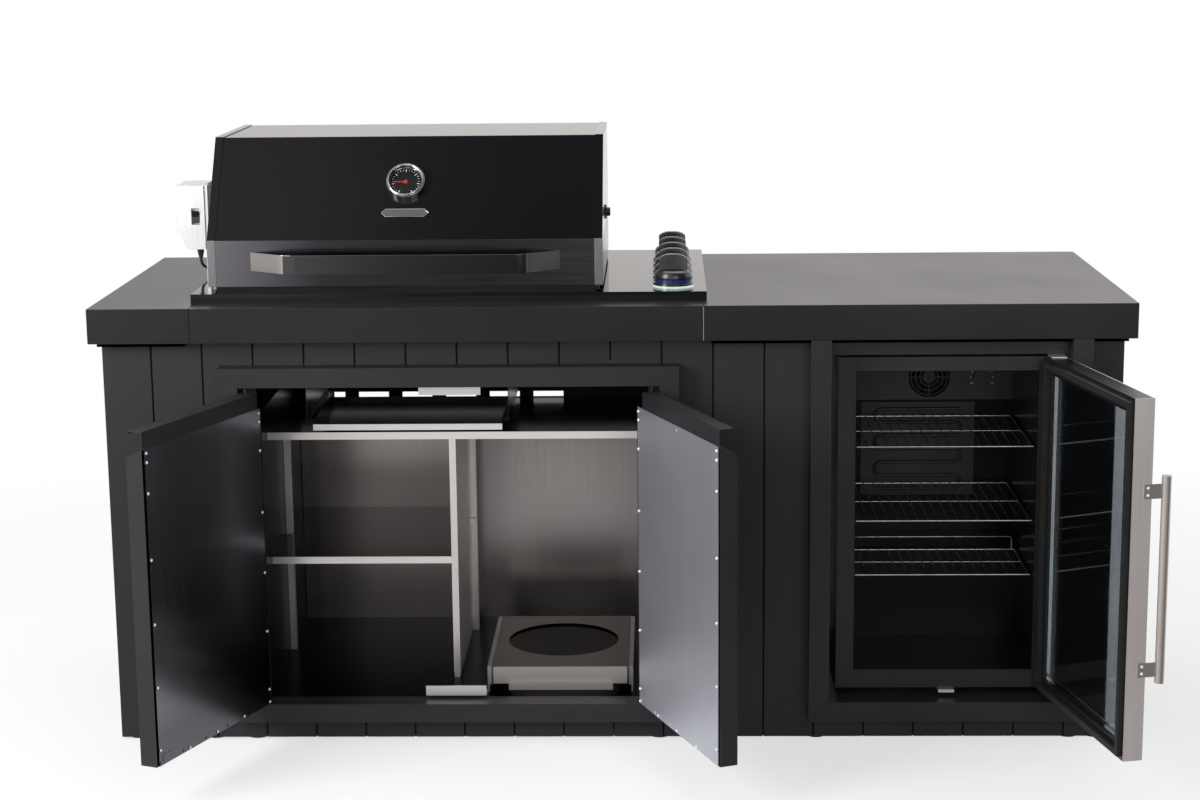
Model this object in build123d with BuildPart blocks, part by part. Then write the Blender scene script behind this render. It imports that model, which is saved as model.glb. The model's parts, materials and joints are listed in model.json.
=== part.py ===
from build123d import *
import os
from math import ceil, cos, pi, radians, sin, tan

# Outdoor kitchen, in millimetres. The origin is on the floor at the middle of the
# cabinet body. X runs along the worktop to the right, Y runs to the back, Z is up.
# A size that ends in setback is measured back from the front edge of the worktop, one
# that ends in margin from the right side of the body, and a rise up from the deck.

# Body and worktop
body_width = 2084.0
body_depth = 615.0
body_height = 858.0
worktop_thickness = 72.0
worktop_front_overhang = 45.0
worktop_side_overhang = 18.0
worktop_back_overhang = 108.0
worktop_skin = 3.0
worktop_lip = 15.0
worktop_joint_left_x = -851.0
worktop_joint_right_x = 189.0
cutout_front_setback = 105.0
cutout_back_setback = 660.0

# Clearances shared by all pieces
seam_gap = 0.3
slide_gap = 0.3
pin_clearance = 0.05
overrun = 5.0
sheet = 1.2

# Cladding boards with a V groove between neighbours
board_pitch = 104.6
board_thickness = 12.0
groove_width = 4.0
groove_depth = 4.0
board_floor_gap = 6.0
back_sheet = 3.0
back_vent_low_z = 560.0
back_vent_high_z = 700.0

# Welded carcass of square tube, on levelling feet
tube_side = 40.0
tube_wall = 2.0
joint_bearing_left = 13.3
joint_bearing_right = 10.0
foot_height = 20.0
foot_pad_radius = 22.0
foot_pad_height = 6.0
foot_stem_radius = 6.0

# Raised frame round the two cabinet doors
door_frame_face = 40.0
door_frame_depth = 40.0
door_opening_low_x = -760.0
door_opening_high_x = 99.5
door_opening_low_z = 91.0
door_opening_high_z = 765.0
frame_sheet = 3.0

# Raised frame round the fridge recess
fridge_opening_low_margin = 594.0
fridge_opening_high_margin = 110.0
fridge_opening_low_z = 93.0
fridge_frame_face = 42.0
fridge_rail_low_z = 832.0
fridge_rail_recess = 6.0
recess_sheet = 2.0
recess_depth = 480.0

# Inside of the cabinet
cabinet_low_x = -735.0
cabinet_high_x = 75.0
cabinet_floor_z = 88.0
cabinet_front_setback = 58.0
cabinet_back_setback = 643.0
cabinet_top_z = 690.0
upper_shelf_z = 617.0
upper_shelf_lip = 14.5
shelf_front_setback = 195.0
middle_shelf_z = 357.0
middle_shelf_lip = 15.0
middle_shelf_front_setback = 200.0
divider_low_x = -348.0
divider_thickness = 14.0
divider_foot_height = 12.0
vent_pitch = 101.0
vent_width = 69.0
vent_height = 12.0
vent_count = 6
vent_first_x = -662.0
vent_low_z = 619.0
post_depth = 13.0
post_width = 20.0
post_top_z = 600.0
left_post_setback = 398.0
right_post_setback = 545.0
clip_height = 12.0
clip_width = 16.0
clip_depth = 8.0
catch_low_x = -394.0
catch_high_x = -267.0
catch_setback = 44.5
catch_thickness = 4.0
upper_catch_low_z = 741.0
upper_catch_high_z = 757.0
lower_catch_low_z = 97.0
lower_catch_high_z = 118.0
catch_leg = 22.0
catch_leg_thickness = 2.0

# Cabinet doors. Each turns on two short pins near its outer edge.
door_open_angle = 112.0
door_pin_from_opening = 15.0
door_pin_setback = 13.0
door_pin_radius = 3.0
door_pin_reach = 16.0
door_pin_root = 8.0
door_edge_gap = 3.0
door_meeting_gap = 4.0
door_face_setback = 5.0
door_low_z = 94.0
door_high_z = 757.0
door_sheet = 1.5
door_thickness = 38.0
door_slope_low_z = 705.0
door_slope_high_z = 723.0
door_lip_drop = 5.0
door_lip_start = 22.0
door_lip_inset = 7.5
hinge_block_side = 14.0
hinge_block_height = 40.0
inner_sheet_side_gap = 8.0
inner_sheet_free_gap = 7.0
screw_head_radius = 3.0
screw_head_height = 1.0
screw_shank_radius = 1.5
screw_edge_distance = 5.0
screw_drops = (9.0, 27.0, 87.0, 217.0, 345.0, 471.0, 597.0, 624.0)
strike_width = 30.0
strike_height = 14.0
strike_thickness = 0.7
strike_edge_distance = 12.0

# Sliding tray for the gas bottle, on two telescopic runners
bottle_tray_low_x = -255.0
bottle_tray_high_x = 28.0
bottle_tray_front_setback = 90.0
bottle_tray_back_setback = 463.0
bottle_tray_z = 145.0
bottle_tray_low_z = 108.0
bottle_tray_sheet = 2.0
bottle_hole_radius = 120.0
bottle_hole_setback = 287.0
bottle_hole_rim = 8.0
tray_lip_low_x = -222.0
tray_lip_high_x = -2.0
tray_lip_reach = 14.0
tray_lip_drop = 9.5
runner_bar = 4.0
runner_height = 41.0
runner_front_setback = 95.0
runner_length = 365.0
runner_foot = 16.0

# Drip tray under the firebox
drip_tray_low_x = -636.0
drip_tray_high_x = -234.0
drip_tray_low_z = 636.0
drip_tray_front_height = 13.0
drip_tray_wall_height = 22.0
drip_tray_length = 325.0
drip_tray_rear_height = 8.0
drip_flange = 8.0
drip_rail_height = 14.0

# Barbecue deck, firebox and gas train
deck_low_x = -861.0
deck_high_x = 197.3
deck_front_setback = 75.0
deck_back_setback = 712.0
deck_height = 18.0
deck_sheet = 2.0
firebox_low_x = -815.0
firebox_high_x = -29.0
firebox_front_setback = 120.0
firebox_back_setback = 600.0
firebox_drop = 206.0
firebox_rise = 8.0
firebox_flange = 6.0
drain_width = 370.0
drain_depth = 300.0
knob_count = 5
knob_x = 129.0
knob_first_setback = 150.0
knob_pitch = 92.0
burner_drop = 90.0
burner_radius = 19.0
burner_wall = 1.5
burner_end_gap = 25.0
venturi_radius = 12.0
venturi_reach = 70.0
tamer_rise = 40.0
tamer_half_width = 27.0
tamer_height = 26.0
tamer_sheet = 1.5
grate_count = 3
grate_bar = 6.0
grate_bar_count = 17
grate_drop = 12.0
grate_gap = 3.0
ledge_depth = 12.0
ledge_thickness = 3.0
manifold_radius = 11.0
manifold_wall = 2.0
valve_side = 30.0
valve_low_drop = 108.0
valve_top_drop = 30.0

# Control knobs with a lit ring under each
bezel_radius = 42.0
bezel_height = 9.0
ring_radius = 38.0
ring_height = 8.0
ring_bore_radius = 22.0
knob_stem_radius = 4.0
knob_skirt_radius = 34.0
knob_skirt_height = 18.0
knob_top_radius = 30.0
grip_length = 60.0
grip_width = 16.0
grip_height = 32.0
grip_fillet = 4.0

# Roasting hood
hood_low_x = -828.6
hood_high_x = -15.1
hood_front_setback = 105.0
hood_low_rise = 10.0
hood_band_rise = 106.0
hood_brow_setback = 250.0
hood_brow_rise = 305.0
hood_crown_setback = 605.0
hood_crown_rise = 302.0
hood_back_low_rise = 37.0
hood_pivot_setback = 618.0
hood_pivot_rise = 37.0
hood_sheet = 1.5
pivot_radius = 5.0
pivot_lug_reach = 14.0
ear_thickness = 8.0
ear_radius = 9.0
handle_low_rise = 43.0
handle_high_rise = 82.0
handle_end_low_x = -740.0
handle_end_high_x = -102.0
handle_bend_low_x = -661.0
handle_bend_high_x = -173.0
handle_reach_setback = 48.0
handle_strap = 4.0
gauge_x = -423.0
gauge_setback = 183.0
gauge_radius = 40.0
gauge_height = 14.0
gauge_rim = 6.0
gauge_recess = 8.0
gauge_post_radius = 2.5
needle_length = 25.0
needle_width = 2.4
needle_thickness = 1.0
needle_hub_radius = 4.5

# Rotisserie motor and its mains lead
motor_low_x = -929.0
motor_high_x = -869.0
motor_low_rise = 63.0
motor_high_rise = 199.0
motor_front_setback = 300.0
motor_back_setback = 410.0
motor_chamfer_x = 22.0
motor_chamfer_z = 43.0
motor_bracket_thickness = 7.0
motor_bracket_front_setback = 304.0
motor_bracket_back_setback = 330.0
spindle_setback = 350.0
spindle_rise = 132.0
spindle_radius = 9.0
spindle_reach = 22.0
spindle_bore_radius = 4.5
spindle_bore_depth = 18.0
switch_low_x = -896.0
switch_high_x = -880.0
switch_low_rise = 117.0
switch_high_rise = 150.0
switch_depth = 12.0
switch_proud = 3.0
switch_gap = 1.0
switch_angle = 16.0
switch_axle_radius = 1.2
switch_axle_reach = 3.0
gland_radius = 9.0
gland_tip_radius = 4.5
gland_length = 24.0
gland_x = -890.0
lead_radius = 3.0
coil_centre_x = -745.0
coil_centre_setback = 657.5
coil_outer_radius = 44.0
coil_pitch = 6.7
coil_half_turns_in = 8
coil_half_turns_out = 6
coil_layer_step = 6.6
run_share = 0.45
plug_width = 24.0
plug_length = 38.0
plug_height = 16.0
plug_pin_length = 18.0
plug_pin_width = 6.3
plug_pin_thickness = 1.6
plug_pin_spread = 7.0

# Bar fridge
fridge_low_margin = 576.5
fridge_high_margin = 131.5
fridge_low_z = 108.0
fridge_high_z = 812.0
fridge_front_setback = 60.0
fridge_back_setback = 500.0
liner_low_margin = 539.0
liner_high_margin = 169.0
liner_low_z = 148.0
liner_high_z = 782.0
liner_back_setback = 440.0
liner_sheet = 1.2
hump_setback = 300.0
hump_z = 350.0
hump_wall = 15.0
fan_box_setback = 402.0
fan_box_low_z = 655.0
fan_margin = 352.0
fan_z = 705.0
fan_opening_radius = 45.0
fan_blade_radius = 40.0
fan_blade_count = 5
fan_blade_width = 20.0
fan_blade_thickness = 2.0
fan_blade_pitch = 30.0
fan_hub_radius = 14.0
fan_hub_length = 14.0
fan_axle_radius = 2.5
grille_ring_pitch = 10.0
grille_ring_count = 4
grille_wire = 2.0
thermostat_margin = 237.0
thermostat_z = 704.0
thermostat_radius = 19.0
thermostat_height = 12.0
thermostat_stem_radius = 3.0
thermostat_groove = 3.0
evaporator_low_margin = 496.0
evaporator_high_margin = 247.0
evaporator_low_z = 432.0
evaporator_high_z = 642.0
evaporator_plate = 1.5
evaporator_tube_radius = 3.5
evaporator_tube_count = 7
compressor_radius = 62.0
compressor_height = 130.0
compressor_margin = 432.0
wire_radius = 2.5
rod_radius = 1.5
rod_pitch = 20.0
shelf_side_gap = 3.0
shelf_rail_width = 8.0
shelf_rail_height = 4.0
top_shelf_z = 620.0
middle_wire_z = 462.0
low_shelf_z = 345.0
top_shelf_front_setback = 78.0
middle_wire_front_setback = 80.0
low_shelf_front_setback = 84.0
top_shelf_back_setback = 395.0
middle_wire_back_setback = 424.0
low_shelf_back_setback = 292.0
fridge_foot_radius = 15.0

# Fridge door
fridge_door_open_angle = 102.0
fridge_pin_margin = 139.0
fridge_pin_setback = 32.0
fridge_pin_radius = 4.0
fridge_pin_reach = 14.0
fridge_door_low_z = 112.0
fridge_door_high_z = 815.0
fridge_door_hinge_edge = 7.5
fridge_door_width = 445.0
fridge_door_front = 21.0
fridge_door_back = 18.0
fridge_door_border = 31.0
glass_thickness = 22.0
gasket_depth = 9.6
gasket_width = 12.0
gasket_inset = 8.0
bracket_plate = 2.0
bracket_low_margin = 150.0
bracket_high_margin = 119.0
bracket_front_setback = 22.0
bracket_back_setback = 100.0
lock_low_margin = 363.0
lock_high_margin = 330.0
lock_front_setback = 45.0
lock_back_setback = 90.0
lock_thickness = 6.0
pull_radius = 9.0
pull_stand_off = 28.0
pull_low_z = 265.0
pull_high_z = 667.0
pull_tab_height = 28.0
pull_tab_thickness = 2.0
pull_tab_root = 5.0
pull_tab_z = (291.5, 638.0)

# Places worked out from the sizes above
left_x = -body_width / 2
right_x = body_width / 2
front_y = -body_depth / 2
back_y = body_depth / 2
edge_y = front_y - worktop_front_overhang
worktop_back_y = back_y + worktop_back_overhang
worktop_left_x = left_x - worktop_side_overhang
worktop_right_x = right_x + worktop_side_overhang
worktop_top_z = body_height + worktop_thickness
deck_z = worktop_top_z + deck_height
door_centre_x = (door_opening_low_x + door_opening_high_x) / 2
fridge_opening_low_x = right_x - fridge_opening_low_margin
fridge_opening_high_x = right_x - fridge_opening_high_margin
fridge_low_x = right_x - fridge_low_margin
fridge_high_x = right_x - fridge_high_margin
liner_low_x = right_x - liner_low_margin
liner_high_x = right_x - liner_high_margin
fan_x = right_x - fan_margin
thermostat_x = right_x - thermostat_margin
evaporator_low_x = right_x - evaporator_low_margin
evaporator_high_x = right_x - evaporator_high_margin
compressor_x = right_x - compressor_margin
fridge_pin_x = right_x - fridge_pin_margin
bracket_low_x = right_x - bracket_low_margin
bracket_high_x = right_x - bracket_high_margin
lock_low_x = right_x - lock_low_margin
lock_high_x = right_x - lock_high_margin
hood_low_z = deck_z + hood_low_rise
hood_band_z = deck_z + hood_band_rise
hood_brow_z = deck_z + hood_brow_rise
hood_crown_z = deck_z + hood_crown_rise
hood_back_low_z = deck_z + hood_back_low_rise
hood_pivot_z = deck_z + hood_pivot_rise
handle_low_z = deck_z + handle_low_rise
handle_high_z = deck_z + handle_high_rise
motor_low_z = deck_z + motor_low_rise
motor_high_z = deck_z + motor_high_rise
spindle_z = deck_z + spindle_rise
switch_low_z = deck_z + switch_low_rise
switch_high_z = deck_z + switch_high_rise
firebox_low_z = deck_z - firebox_drop

os.makedirs("parts", exist_ok=True)


def block(x_span, y_span, z_span, mode=Mode.ADD):
    """Adds or cuts a box that reaches from one place to another along each axis."""
    low = Vector(x_span[0], y_span[0], z_span[0])
    high = Vector(x_span[1], y_span[1], z_span[1])
    size = high - low
    with Locations((low + high) / 2):
        Box(size.X, size.Y, size.Z, mode=mode)


def post(centre, radius, z_span, mode=Mode.ADD):
    """Adds or cuts an upright cylinder."""
    with Locations((centre[0], centre[1], (z_span[0] + z_span[1]) / 2)):
        Cylinder(radius, z_span[1] - z_span[0], mode=mode)


def bar_along(axis, start, length, radius, mode=Mode.ADD):
    """Adds or cuts a round bar from a place along X or Y."""
    plane = Plane(start, z_dir=axis)
    with Locations(plane):
        align = (Align.CENTER, Align.CENTER, Align.MIN)
        Cylinder(radius, length, align=align, mode=mode)


def at(setback):
    """The Y place that lies a setback behind the worktop's front edge."""
    return edge_y + setback


# Cladding: upright boards, each with its two front edges cut to half a groove
def add_board(wall, span, z_span, grooves=(True, True)):
    low = span[0] + seam_gap / 2
    high = span[1] - seam_gap / 2
    bevel = groove_width / 2
    low_corner = [(low, groove_depth), (low + bevel, 0)] if grooves[0] else [(low, 0)]
    high_corner = [(high - bevel, 0), (high, groove_depth)] if grooves[1] else [(high, 0)]
    outline = [(low, board_thickness), *low_corner, *high_corner, (high, board_thickness)]
    with BuildSketch(wall.offset(z_span[0])) as profile:
        with BuildLine():
            Polyline(*outline, close=True)
        make_face()
    extrude(profile.sketch, amount=z_span[1] - z_span[0])


def board_edges(length_before, length_after):
    """Edges of the boards on a wall, at whole pitches from its zero line."""
    count_before = int(length_before / board_pitch)
    count_after = int(length_after / board_pitch)
    inner = [k * board_pitch for k in range(-count_before, count_after + 1)]
    edges = [-length_before, *inner, length_after]
    return [a for a, b in zip(edges, edges[1:]) if b - a > groove_width] + [length_after]


front_wall = Plane((0, front_y, 0), x_dir=(1, 0, 0), z_dir=(0, 0, 1))
boards_top_z = body_height - seam_gap
fridge_opening_high_z = body_height
openings = (
    (door_opening_low_x, door_opening_high_x, door_opening_low_z, door_opening_high_z),
    (fridge_opening_low_x, fridge_opening_high_x, fridge_opening_low_z, fridge_opening_high_z),
)

with BuildPart() as cladding_front:
    edges = board_edges(-left_x, right_x)
    for low, high in zip(edges, edges[1:]):
        add_board(front_wall, (low, high), (board_floor_gap, boards_top_z), (low > left_x, high < right_x))
    for low_x, high_x, low_z, high_z in openings:
        block(
            (low_x, high_x),
            (front_y - overrun, front_y + board_thickness + overrun),
            (low_z, high_z),
            mode=Mode.SUBTRACT,
        )
        for seam_z in (low_z, high_z):
            block(
                (low_x - board_pitch, high_x + board_pitch / 2),
                (front_y - overrun, front_y + board_thickness + overrun),
                (seam_z - seam_gap / 2, seam_z + seam_gap / 2),
                mode=Mode.SUBTRACT,
            )
cladding_front.part.label = "cladding_front"
export_step(cladding_front.part, "parts/cladding_front.step")

side_start_y = front_y + board_thickness + seam_gap
side_length = back_y - side_start_y
left_wall = Plane((left_x, side_start_y, 0), x_dir=(0, -1, 0), z_dir=(0, 0, 1))
right_wall = Plane((right_x, side_start_y, 0), x_dir=(0, 1, 0), z_dir=(0, 0, 1))

with BuildPart() as cladding_sides:
    side_edges = board_edges(0, side_length)
    for low, high in zip(side_edges, side_edges[1:]):
        grooves = (low > 0, high < side_length)
        add_board(right_wall, (low, high), (board_floor_gap, boards_top_z), grooves)
        add_board(left_wall, (-high, -low), (board_floor_gap, boards_top_z), grooves[::-1])
cladding_sides.part.label = "cladding_sides"
export_step(cladding_sides.part, "parts/cladding_sides.step")

# Back: steel sheets between the side boards, open behind the vents and the fridge
back_low_x = left_x + board_thickness + seam_gap
back_high_x = right_x - board_thickness - seam_gap
back_sheet_y = (back_y - back_sheet, back_y)
with BuildPart() as back_panel:
    block((back_low_x, fridge_opening_low_x - seam_gap), back_sheet_y, (board_floor_gap, back_vent_low_z))
    block((back_low_x, fridge_opening_low_x - seam_gap), back_sheet_y, (back_vent_high_z, boards_top_z))
    block(
        (back_low_x, cabinet_low_x),
        back_sheet_y,
        (back_vent_low_z + seam_gap, back_vent_high_z - seam_gap),
    )
    block(
        (cabinet_high_x, fridge_opening_low_x - seam_gap),
        back_sheet_y,
        (back_vent_low_z + seam_gap, back_vent_high_z - seam_gap),
    )
    block((fridge_opening_high_x, back_high_x), back_sheet_y, (board_floor_gap, boards_top_z))
back_panel.part.label = "back_panel"
export_step(back_panel.part, "parts/back_panel.step")

# Carcass: base rails, uprights and top rails, each a length of square tube
inner_front_y = side_start_y
inner_back_y = back_y - back_sheet - seam_gap
base_z = (foot_height, foot_height + tube_side)
top_z = (body_height - seam_gap - tube_side, body_height - seam_gap)
front_tube_y = (inner_front_y, inner_front_y + tube_side)
back_tube_y = (inner_back_y - tube_side, inner_back_y)
joint_station_left = worktop_joint_left_x - joint_bearing_left
joint_station_right = worktop_joint_right_x - joint_bearing_right
stations = {
    "left_corner": back_low_x,
    "left_joint": joint_station_left,
    "cabinet_left": cabinet_low_x - sheet - seam_gap - tube_side,
    "cabinet_right": cabinet_high_x + sheet + seam_gap,
    "right_joint": joint_station_right,
    "fridge_left": fridge_opening_low_x - recess_sheet - seam_gap - tube_side,
    "fridge_right": fridge_opening_high_x + recess_sheet + seam_gap,
    "right_corner": back_high_x - tube_side,
    "middle": -tube_side / 2,
}
under_firebox = ("cabinet_left", "cabinet_right", "middle")


def add_tube(*spans):
    """A square tube. Its one span that isn't a tube's width long is the open way."""
    block(*spans)
    inner = []
    for low, high in spans:
        across = abs(high - low - tube_side) < seam_gap
        inner.append((low + tube_wall, high - tube_wall) if across else (low - overrun, high + overrun))
    block(*inner, mode=Mode.SUBTRACT)


with BuildPart() as carcass_frame:
    cross_y = (front_tube_y[1] + seam_gap, back_tube_y[0] - seam_gap)
    for name, low_x in stations.items():
        add_tube((low_x, low_x + tube_side), cross_y, base_z)
        if name not in under_firebox:
            add_tube((low_x, low_x + tube_side), cross_y, top_z)
    for tube_y in (front_tube_y, back_tube_y):
        for name, low_x in stations.items():
            if name != "middle":
                upright_z = (base_z[1] + seam_gap, top_z[0] - seam_gap)
                add_tube((low_x, low_x + tube_side), tube_y, upright_z)
        add_tube((back_low_x, back_high_x), tube_y, base_z)
        add_tube((back_low_x, back_high_x), tube_y, top_z)
carcass_frame.part.label = "carcass_frame"
export_step(carcass_frame.part, "parts/carcass_frame.step")

foot_rows = [(tube_y[0] + tube_y[1]) / 2 for tube_y in (front_tube_y, back_tube_y)]
foot_centres = [(low_x + tube_side / 2, y) for low_x in stations.values() for y in foot_rows]
foot_centres = [centre for centre in foot_centres if centre[0]] + [(0, 0)]
with BuildPart() as levelling_feet:
    for centre in foot_centres:
        post(centre, foot_pad_radius, (0, foot_pad_height))
        post(centre, foot_stem_radius, (foot_pad_height, foot_height))
levelling_feet.part.label = "levelling_feet"
export_step(levelling_feet.part, "parts/levelling_feet.step")


# Worktop: folded trays with a top skin, deep aprons and a lip turned in below
def add_tray(x_span, y_span, z_span, skin, lip):
    block(x_span, y_span, z_span)
    block(
        (x_span[0] + skin, x_span[1] - skin),
        (y_span[0] + skin, y_span[1] - skin),
        (z_span[0] + skin, z_span[1] - skin),
        mode=Mode.SUBTRACT,
    )
    block(
        (x_span[0] + lip, x_span[1] - lip),
        (y_span[0] + lip, y_span[1] - lip),
        (z_span[0] - overrun, z_span[0] + skin + overrun),
        mode=Mode.SUBTRACT,
    )


worktop_z = (body_height, worktop_top_z)
joint_left = (worktop_joint_left_x - seam_gap / 2, worktop_joint_left_x + seam_gap / 2)
joint_right = (worktop_joint_right_x - seam_gap / 2, worktop_joint_right_x + seam_gap / 2)
with BuildPart() as worktop_left:
    add_tray((worktop_left_x, joint_left[0]), (edge_y, worktop_back_y), worktop_z, worktop_skin, worktop_lip)
worktop_left.part.label = "worktop_left"
export_step(worktop_left.part, "parts/worktop_left.step")

with BuildPart() as worktop_right:
    add_tray(
        (joint_right[1], worktop_right_x),
        (edge_y, worktop_back_y),
        worktop_z,
        worktop_skin,
        worktop_lip,
    )
worktop_right.part.label = "worktop_right"
export_step(worktop_right.part, "parts/worktop_right.step")

rail_x = (joint_left[1], joint_right[0])
front_rail_y = (edge_y, at(cutout_front_setback))
back_rail_y = (at(cutout_back_setback), worktop_back_y)
with BuildPart() as worktop_rails:
    for rail_y in (front_rail_y, back_rail_y):
        block(rail_x, rail_y, worktop_z)
        block(
            (rail_x[0] + worktop_skin, rail_x[1] - worktop_skin),
            (rail_y[0] + worktop_skin, rail_y[1] - worktop_skin),
            (worktop_z[0] + worktop_skin, worktop_z[1] - worktop_skin),
            mode=Mode.SUBTRACT,
        )
        block(
            (rail_x[0] + worktop_lip, rail_x[1] - worktop_lip),
            (rail_y[0] + worktop_lip, rail_y[1] - worktop_lip),
            (worktop_z[0] - overrun, worktop_z[0] + worktop_skin + overrun),
            mode=Mode.SUBTRACT,
        )
worktop_rails.part.label = "worktop_rails"
export_step(worktop_rails.part, "parts/worktop_rails.step")


# Raised frames: channels folded from sheet, mitred at their corners
def add_channel(corners):
    """One mitred member. Its outline lies on the body's front, and it opens to the back."""
    with BuildPart() as member:
        with BuildSketch(Plane.XZ.offset(-front_y)):
            with BuildLine():
                Polyline(*corners, close=True)
            make_face()
        extrude(amount=door_frame_depth)
        back_face = member.faces().sort_by(Axis.Y)[-1]
        offset(amount=-frame_sheet, openings=back_face, kind=Kind.INTERSECTION)
    return member.part


def frame_members(outer, inner, has_top):
    """The members of one frame, as corner lists, with a hairline at each mitre."""
    (out_low_x, out_high_x, out_low_z, out_high_z) = outer
    (in_low_x, in_high_x, in_low_z, in_high_z) = inner
    gap = seam_gap
    top_gap = gap if has_top else 0
    members = [
        [
            (out_low_x, out_low_z + gap),
            (in_low_x, in_low_z + gap),
            (in_low_x, in_high_z - top_gap),
            (out_low_x, out_high_z - top_gap),
        ],
        [
            (out_high_x, out_low_z + gap),
            (in_high_x, in_low_z + gap),
            (in_high_x, in_high_z - top_gap),
            (out_high_x, out_high_z - top_gap),
        ],
        [(out_low_x, out_low_z), (out_high_x, out_low_z), (in_high_x, in_low_z), (in_low_x, in_low_z)],
    ]
    if has_top:
        members.append(
            [(out_low_x, out_high_z), (out_high_x, out_high_z), (in_high_x, in_high_z), (in_low_x, in_high_z)]
        )
    return members


door_frame_inner = (door_opening_low_x, door_opening_high_x, door_opening_low_z, door_opening_high_z)
door_frame_outer = (
    door_opening_low_x - door_frame_face,
    door_opening_high_x + door_frame_face,
    door_opening_low_z - door_frame_face,
    door_opening_high_z + door_frame_face,
)
door_frame_pieces = [
    add_channel(corners) for corners in frame_members(door_frame_outer, door_frame_inner, True)
]

# The door pins stand in the top and bottom members of the frame
left_pin_x = door_opening_low_x + door_pin_from_opening
right_pin_x = door_opening_high_x - door_pin_from_opening
door_pin_y = at(door_pin_setback)
lower_pin_z = (door_opening_low_z - door_pin_root, door_low_z + door_pin_reach)
upper_pin_z = (door_slope_low_z - hinge_block_height / 2, door_opening_high_z + door_pin_root)
with BuildPart() as door_surround:
    for piece in door_frame_pieces:
        add(piece)
    for pin_x in (left_pin_x, right_pin_x):
        for pin_z in (lower_pin_z, upper_pin_z):
            post((pin_x, door_pin_y), door_pin_radius + pin_clearance, pin_z, mode=Mode.SUBTRACT)
            post((pin_x, door_pin_y), door_pin_radius, pin_z)
door_surround.part.label = "door_surround"
export_step(door_surround.part, "parts/door_surround.step")

fridge_frame_top_z = body_height - seam_gap
fridge_frame_inner = (fridge_opening_low_x, fridge_opening_high_x, fridge_opening_low_z, fridge_frame_top_z)
fridge_frame_outer = (
    fridge_opening_low_x - fridge_frame_face,
    fridge_opening_high_x + fridge_frame_face,
    fridge_opening_low_z - fridge_frame_face,
    fridge_frame_top_z,
)
fridge_frame_pieces = [
    add_channel(corners) for corners in frame_members(fridge_frame_outer, fridge_frame_inner, False)
]
recess_y = (front_y + board_thickness + seam_gap, front_y + recess_depth)
lining_top_z = top_z[0] - seam_gap
with BuildPart() as fridge_surround:
    for piece in fridge_frame_pieces:
        add(piece)
    block(
        (fridge_opening_low_x - recess_sheet, fridge_opening_low_x),
        recess_y,
        (fridge_opening_low_z, lining_top_z),
    )
    block(
        (fridge_opening_high_x, fridge_opening_high_x + recess_sheet),
        recess_y,
        (fridge_opening_low_z, lining_top_z),
    )
    block(
        (fridge_opening_low_x + seam_gap, fridge_opening_high_x - seam_gap),
        recess_y,
        (fridge_opening_low_z - recess_sheet, fridge_opening_low_z),
    )
    block(
        (fridge_opening_low_x + seam_gap, fridge_opening_high_x - seam_gap),
        (front_y + fridge_rail_recess, front_y + board_thickness),
        (fridge_rail_low_z, top_z[1]),
    )
fridge_surround.part.label = "fridge_surround"
export_step(fridge_surround.part, "parts/fridge_surround.step")

# Cabinet lining: floor, two side walls and a back wall with a row of vents
cabinet_y = (at(cabinet_front_setback), at(cabinet_back_setback))
shelf_under_z = upper_shelf_z - sheet
with BuildPart() as cabinet_liner:
    block((cabinet_low_x, cabinet_high_x), cabinet_y, (cabinet_floor_z - sheet, cabinet_floor_z))
    for wall_x in (
        (cabinet_low_x - sheet, cabinet_low_x - seam_gap),
        (cabinet_high_x + seam_gap, cabinet_high_x + sheet),
    ):
        block(wall_x, cabinet_y, (cabinet_floor_z, cabinet_top_z))
    back_wall_y = (cabinet_y[1] + seam_gap, cabinet_y[1] + sheet)
    block(
        (cabinet_low_x - sheet, cabinet_high_x + sheet),
        back_wall_y,
        (cabinet_floor_z - sheet, cabinet_top_z),
    )
    for k in range(vent_count):
        centre_x = vent_first_x + k * vent_pitch
        block(
            (centre_x - vent_width / 2, centre_x + vent_width / 2),
            (back_wall_y[0] - overrun, back_wall_y[1] + overrun),
            (vent_low_z, vent_low_z + vent_height),
            mode=Mode.SUBTRACT,
        )
cabinet_liner.part.label = "cabinet_liner"
export_step(cabinet_liner.part, "parts/cabinet_liner.step")

divider_high_x = divider_low_x + divider_thickness
with BuildPart() as divider:
    block(
        (divider_low_x, divider_high_x),
        (at(shelf_front_setback), cabinet_y[1] - seam_gap),
        (cabinet_floor_z + divider_foot_height, shelf_under_z - seam_gap),
    )
    block(
        (divider_low_x + sheet, divider_high_x - sheet),
        (at(shelf_front_setback) + sheet, cabinet_y[1] + overrun),
        (cabinet_floor_z + divider_foot_height + sheet, shelf_under_z - seam_gap - sheet),
        mode=Mode.SUBTRACT,
    )
    block(
        (divider_low_x + sheet, divider_high_x - sheet),
        (at(shelf_front_setback) + sheet, cabinet_y[1] - seam_gap),
        (cabinet_floor_z, cabinet_floor_z + divider_foot_height),
    )
divider.part.label = "divider"
export_step(divider.part, "parts/divider.step")


def add_shelf(x_span, y_span, top, lip_z):
    """A sheet with its front edge folded to a lip."""
    block(x_span, y_span, (top - sheet, top))
    block(x_span, (y_span[0], y_span[0] + sheet), lip_z)


with BuildPart() as middle_shelf:
    add_shelf(
        (cabinet_low_x + seam_gap, divider_low_x - seam_gap),
        (at(middle_shelf_front_setback), cabinet_y[1] - seam_gap),
        middle_shelf_z,
        (middle_shelf_z - middle_shelf_lip, middle_shelf_z),
    )
middle_shelf.part.label = "middle_shelf"
export_step(middle_shelf.part, "parts/middle_shelf.step")

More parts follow.
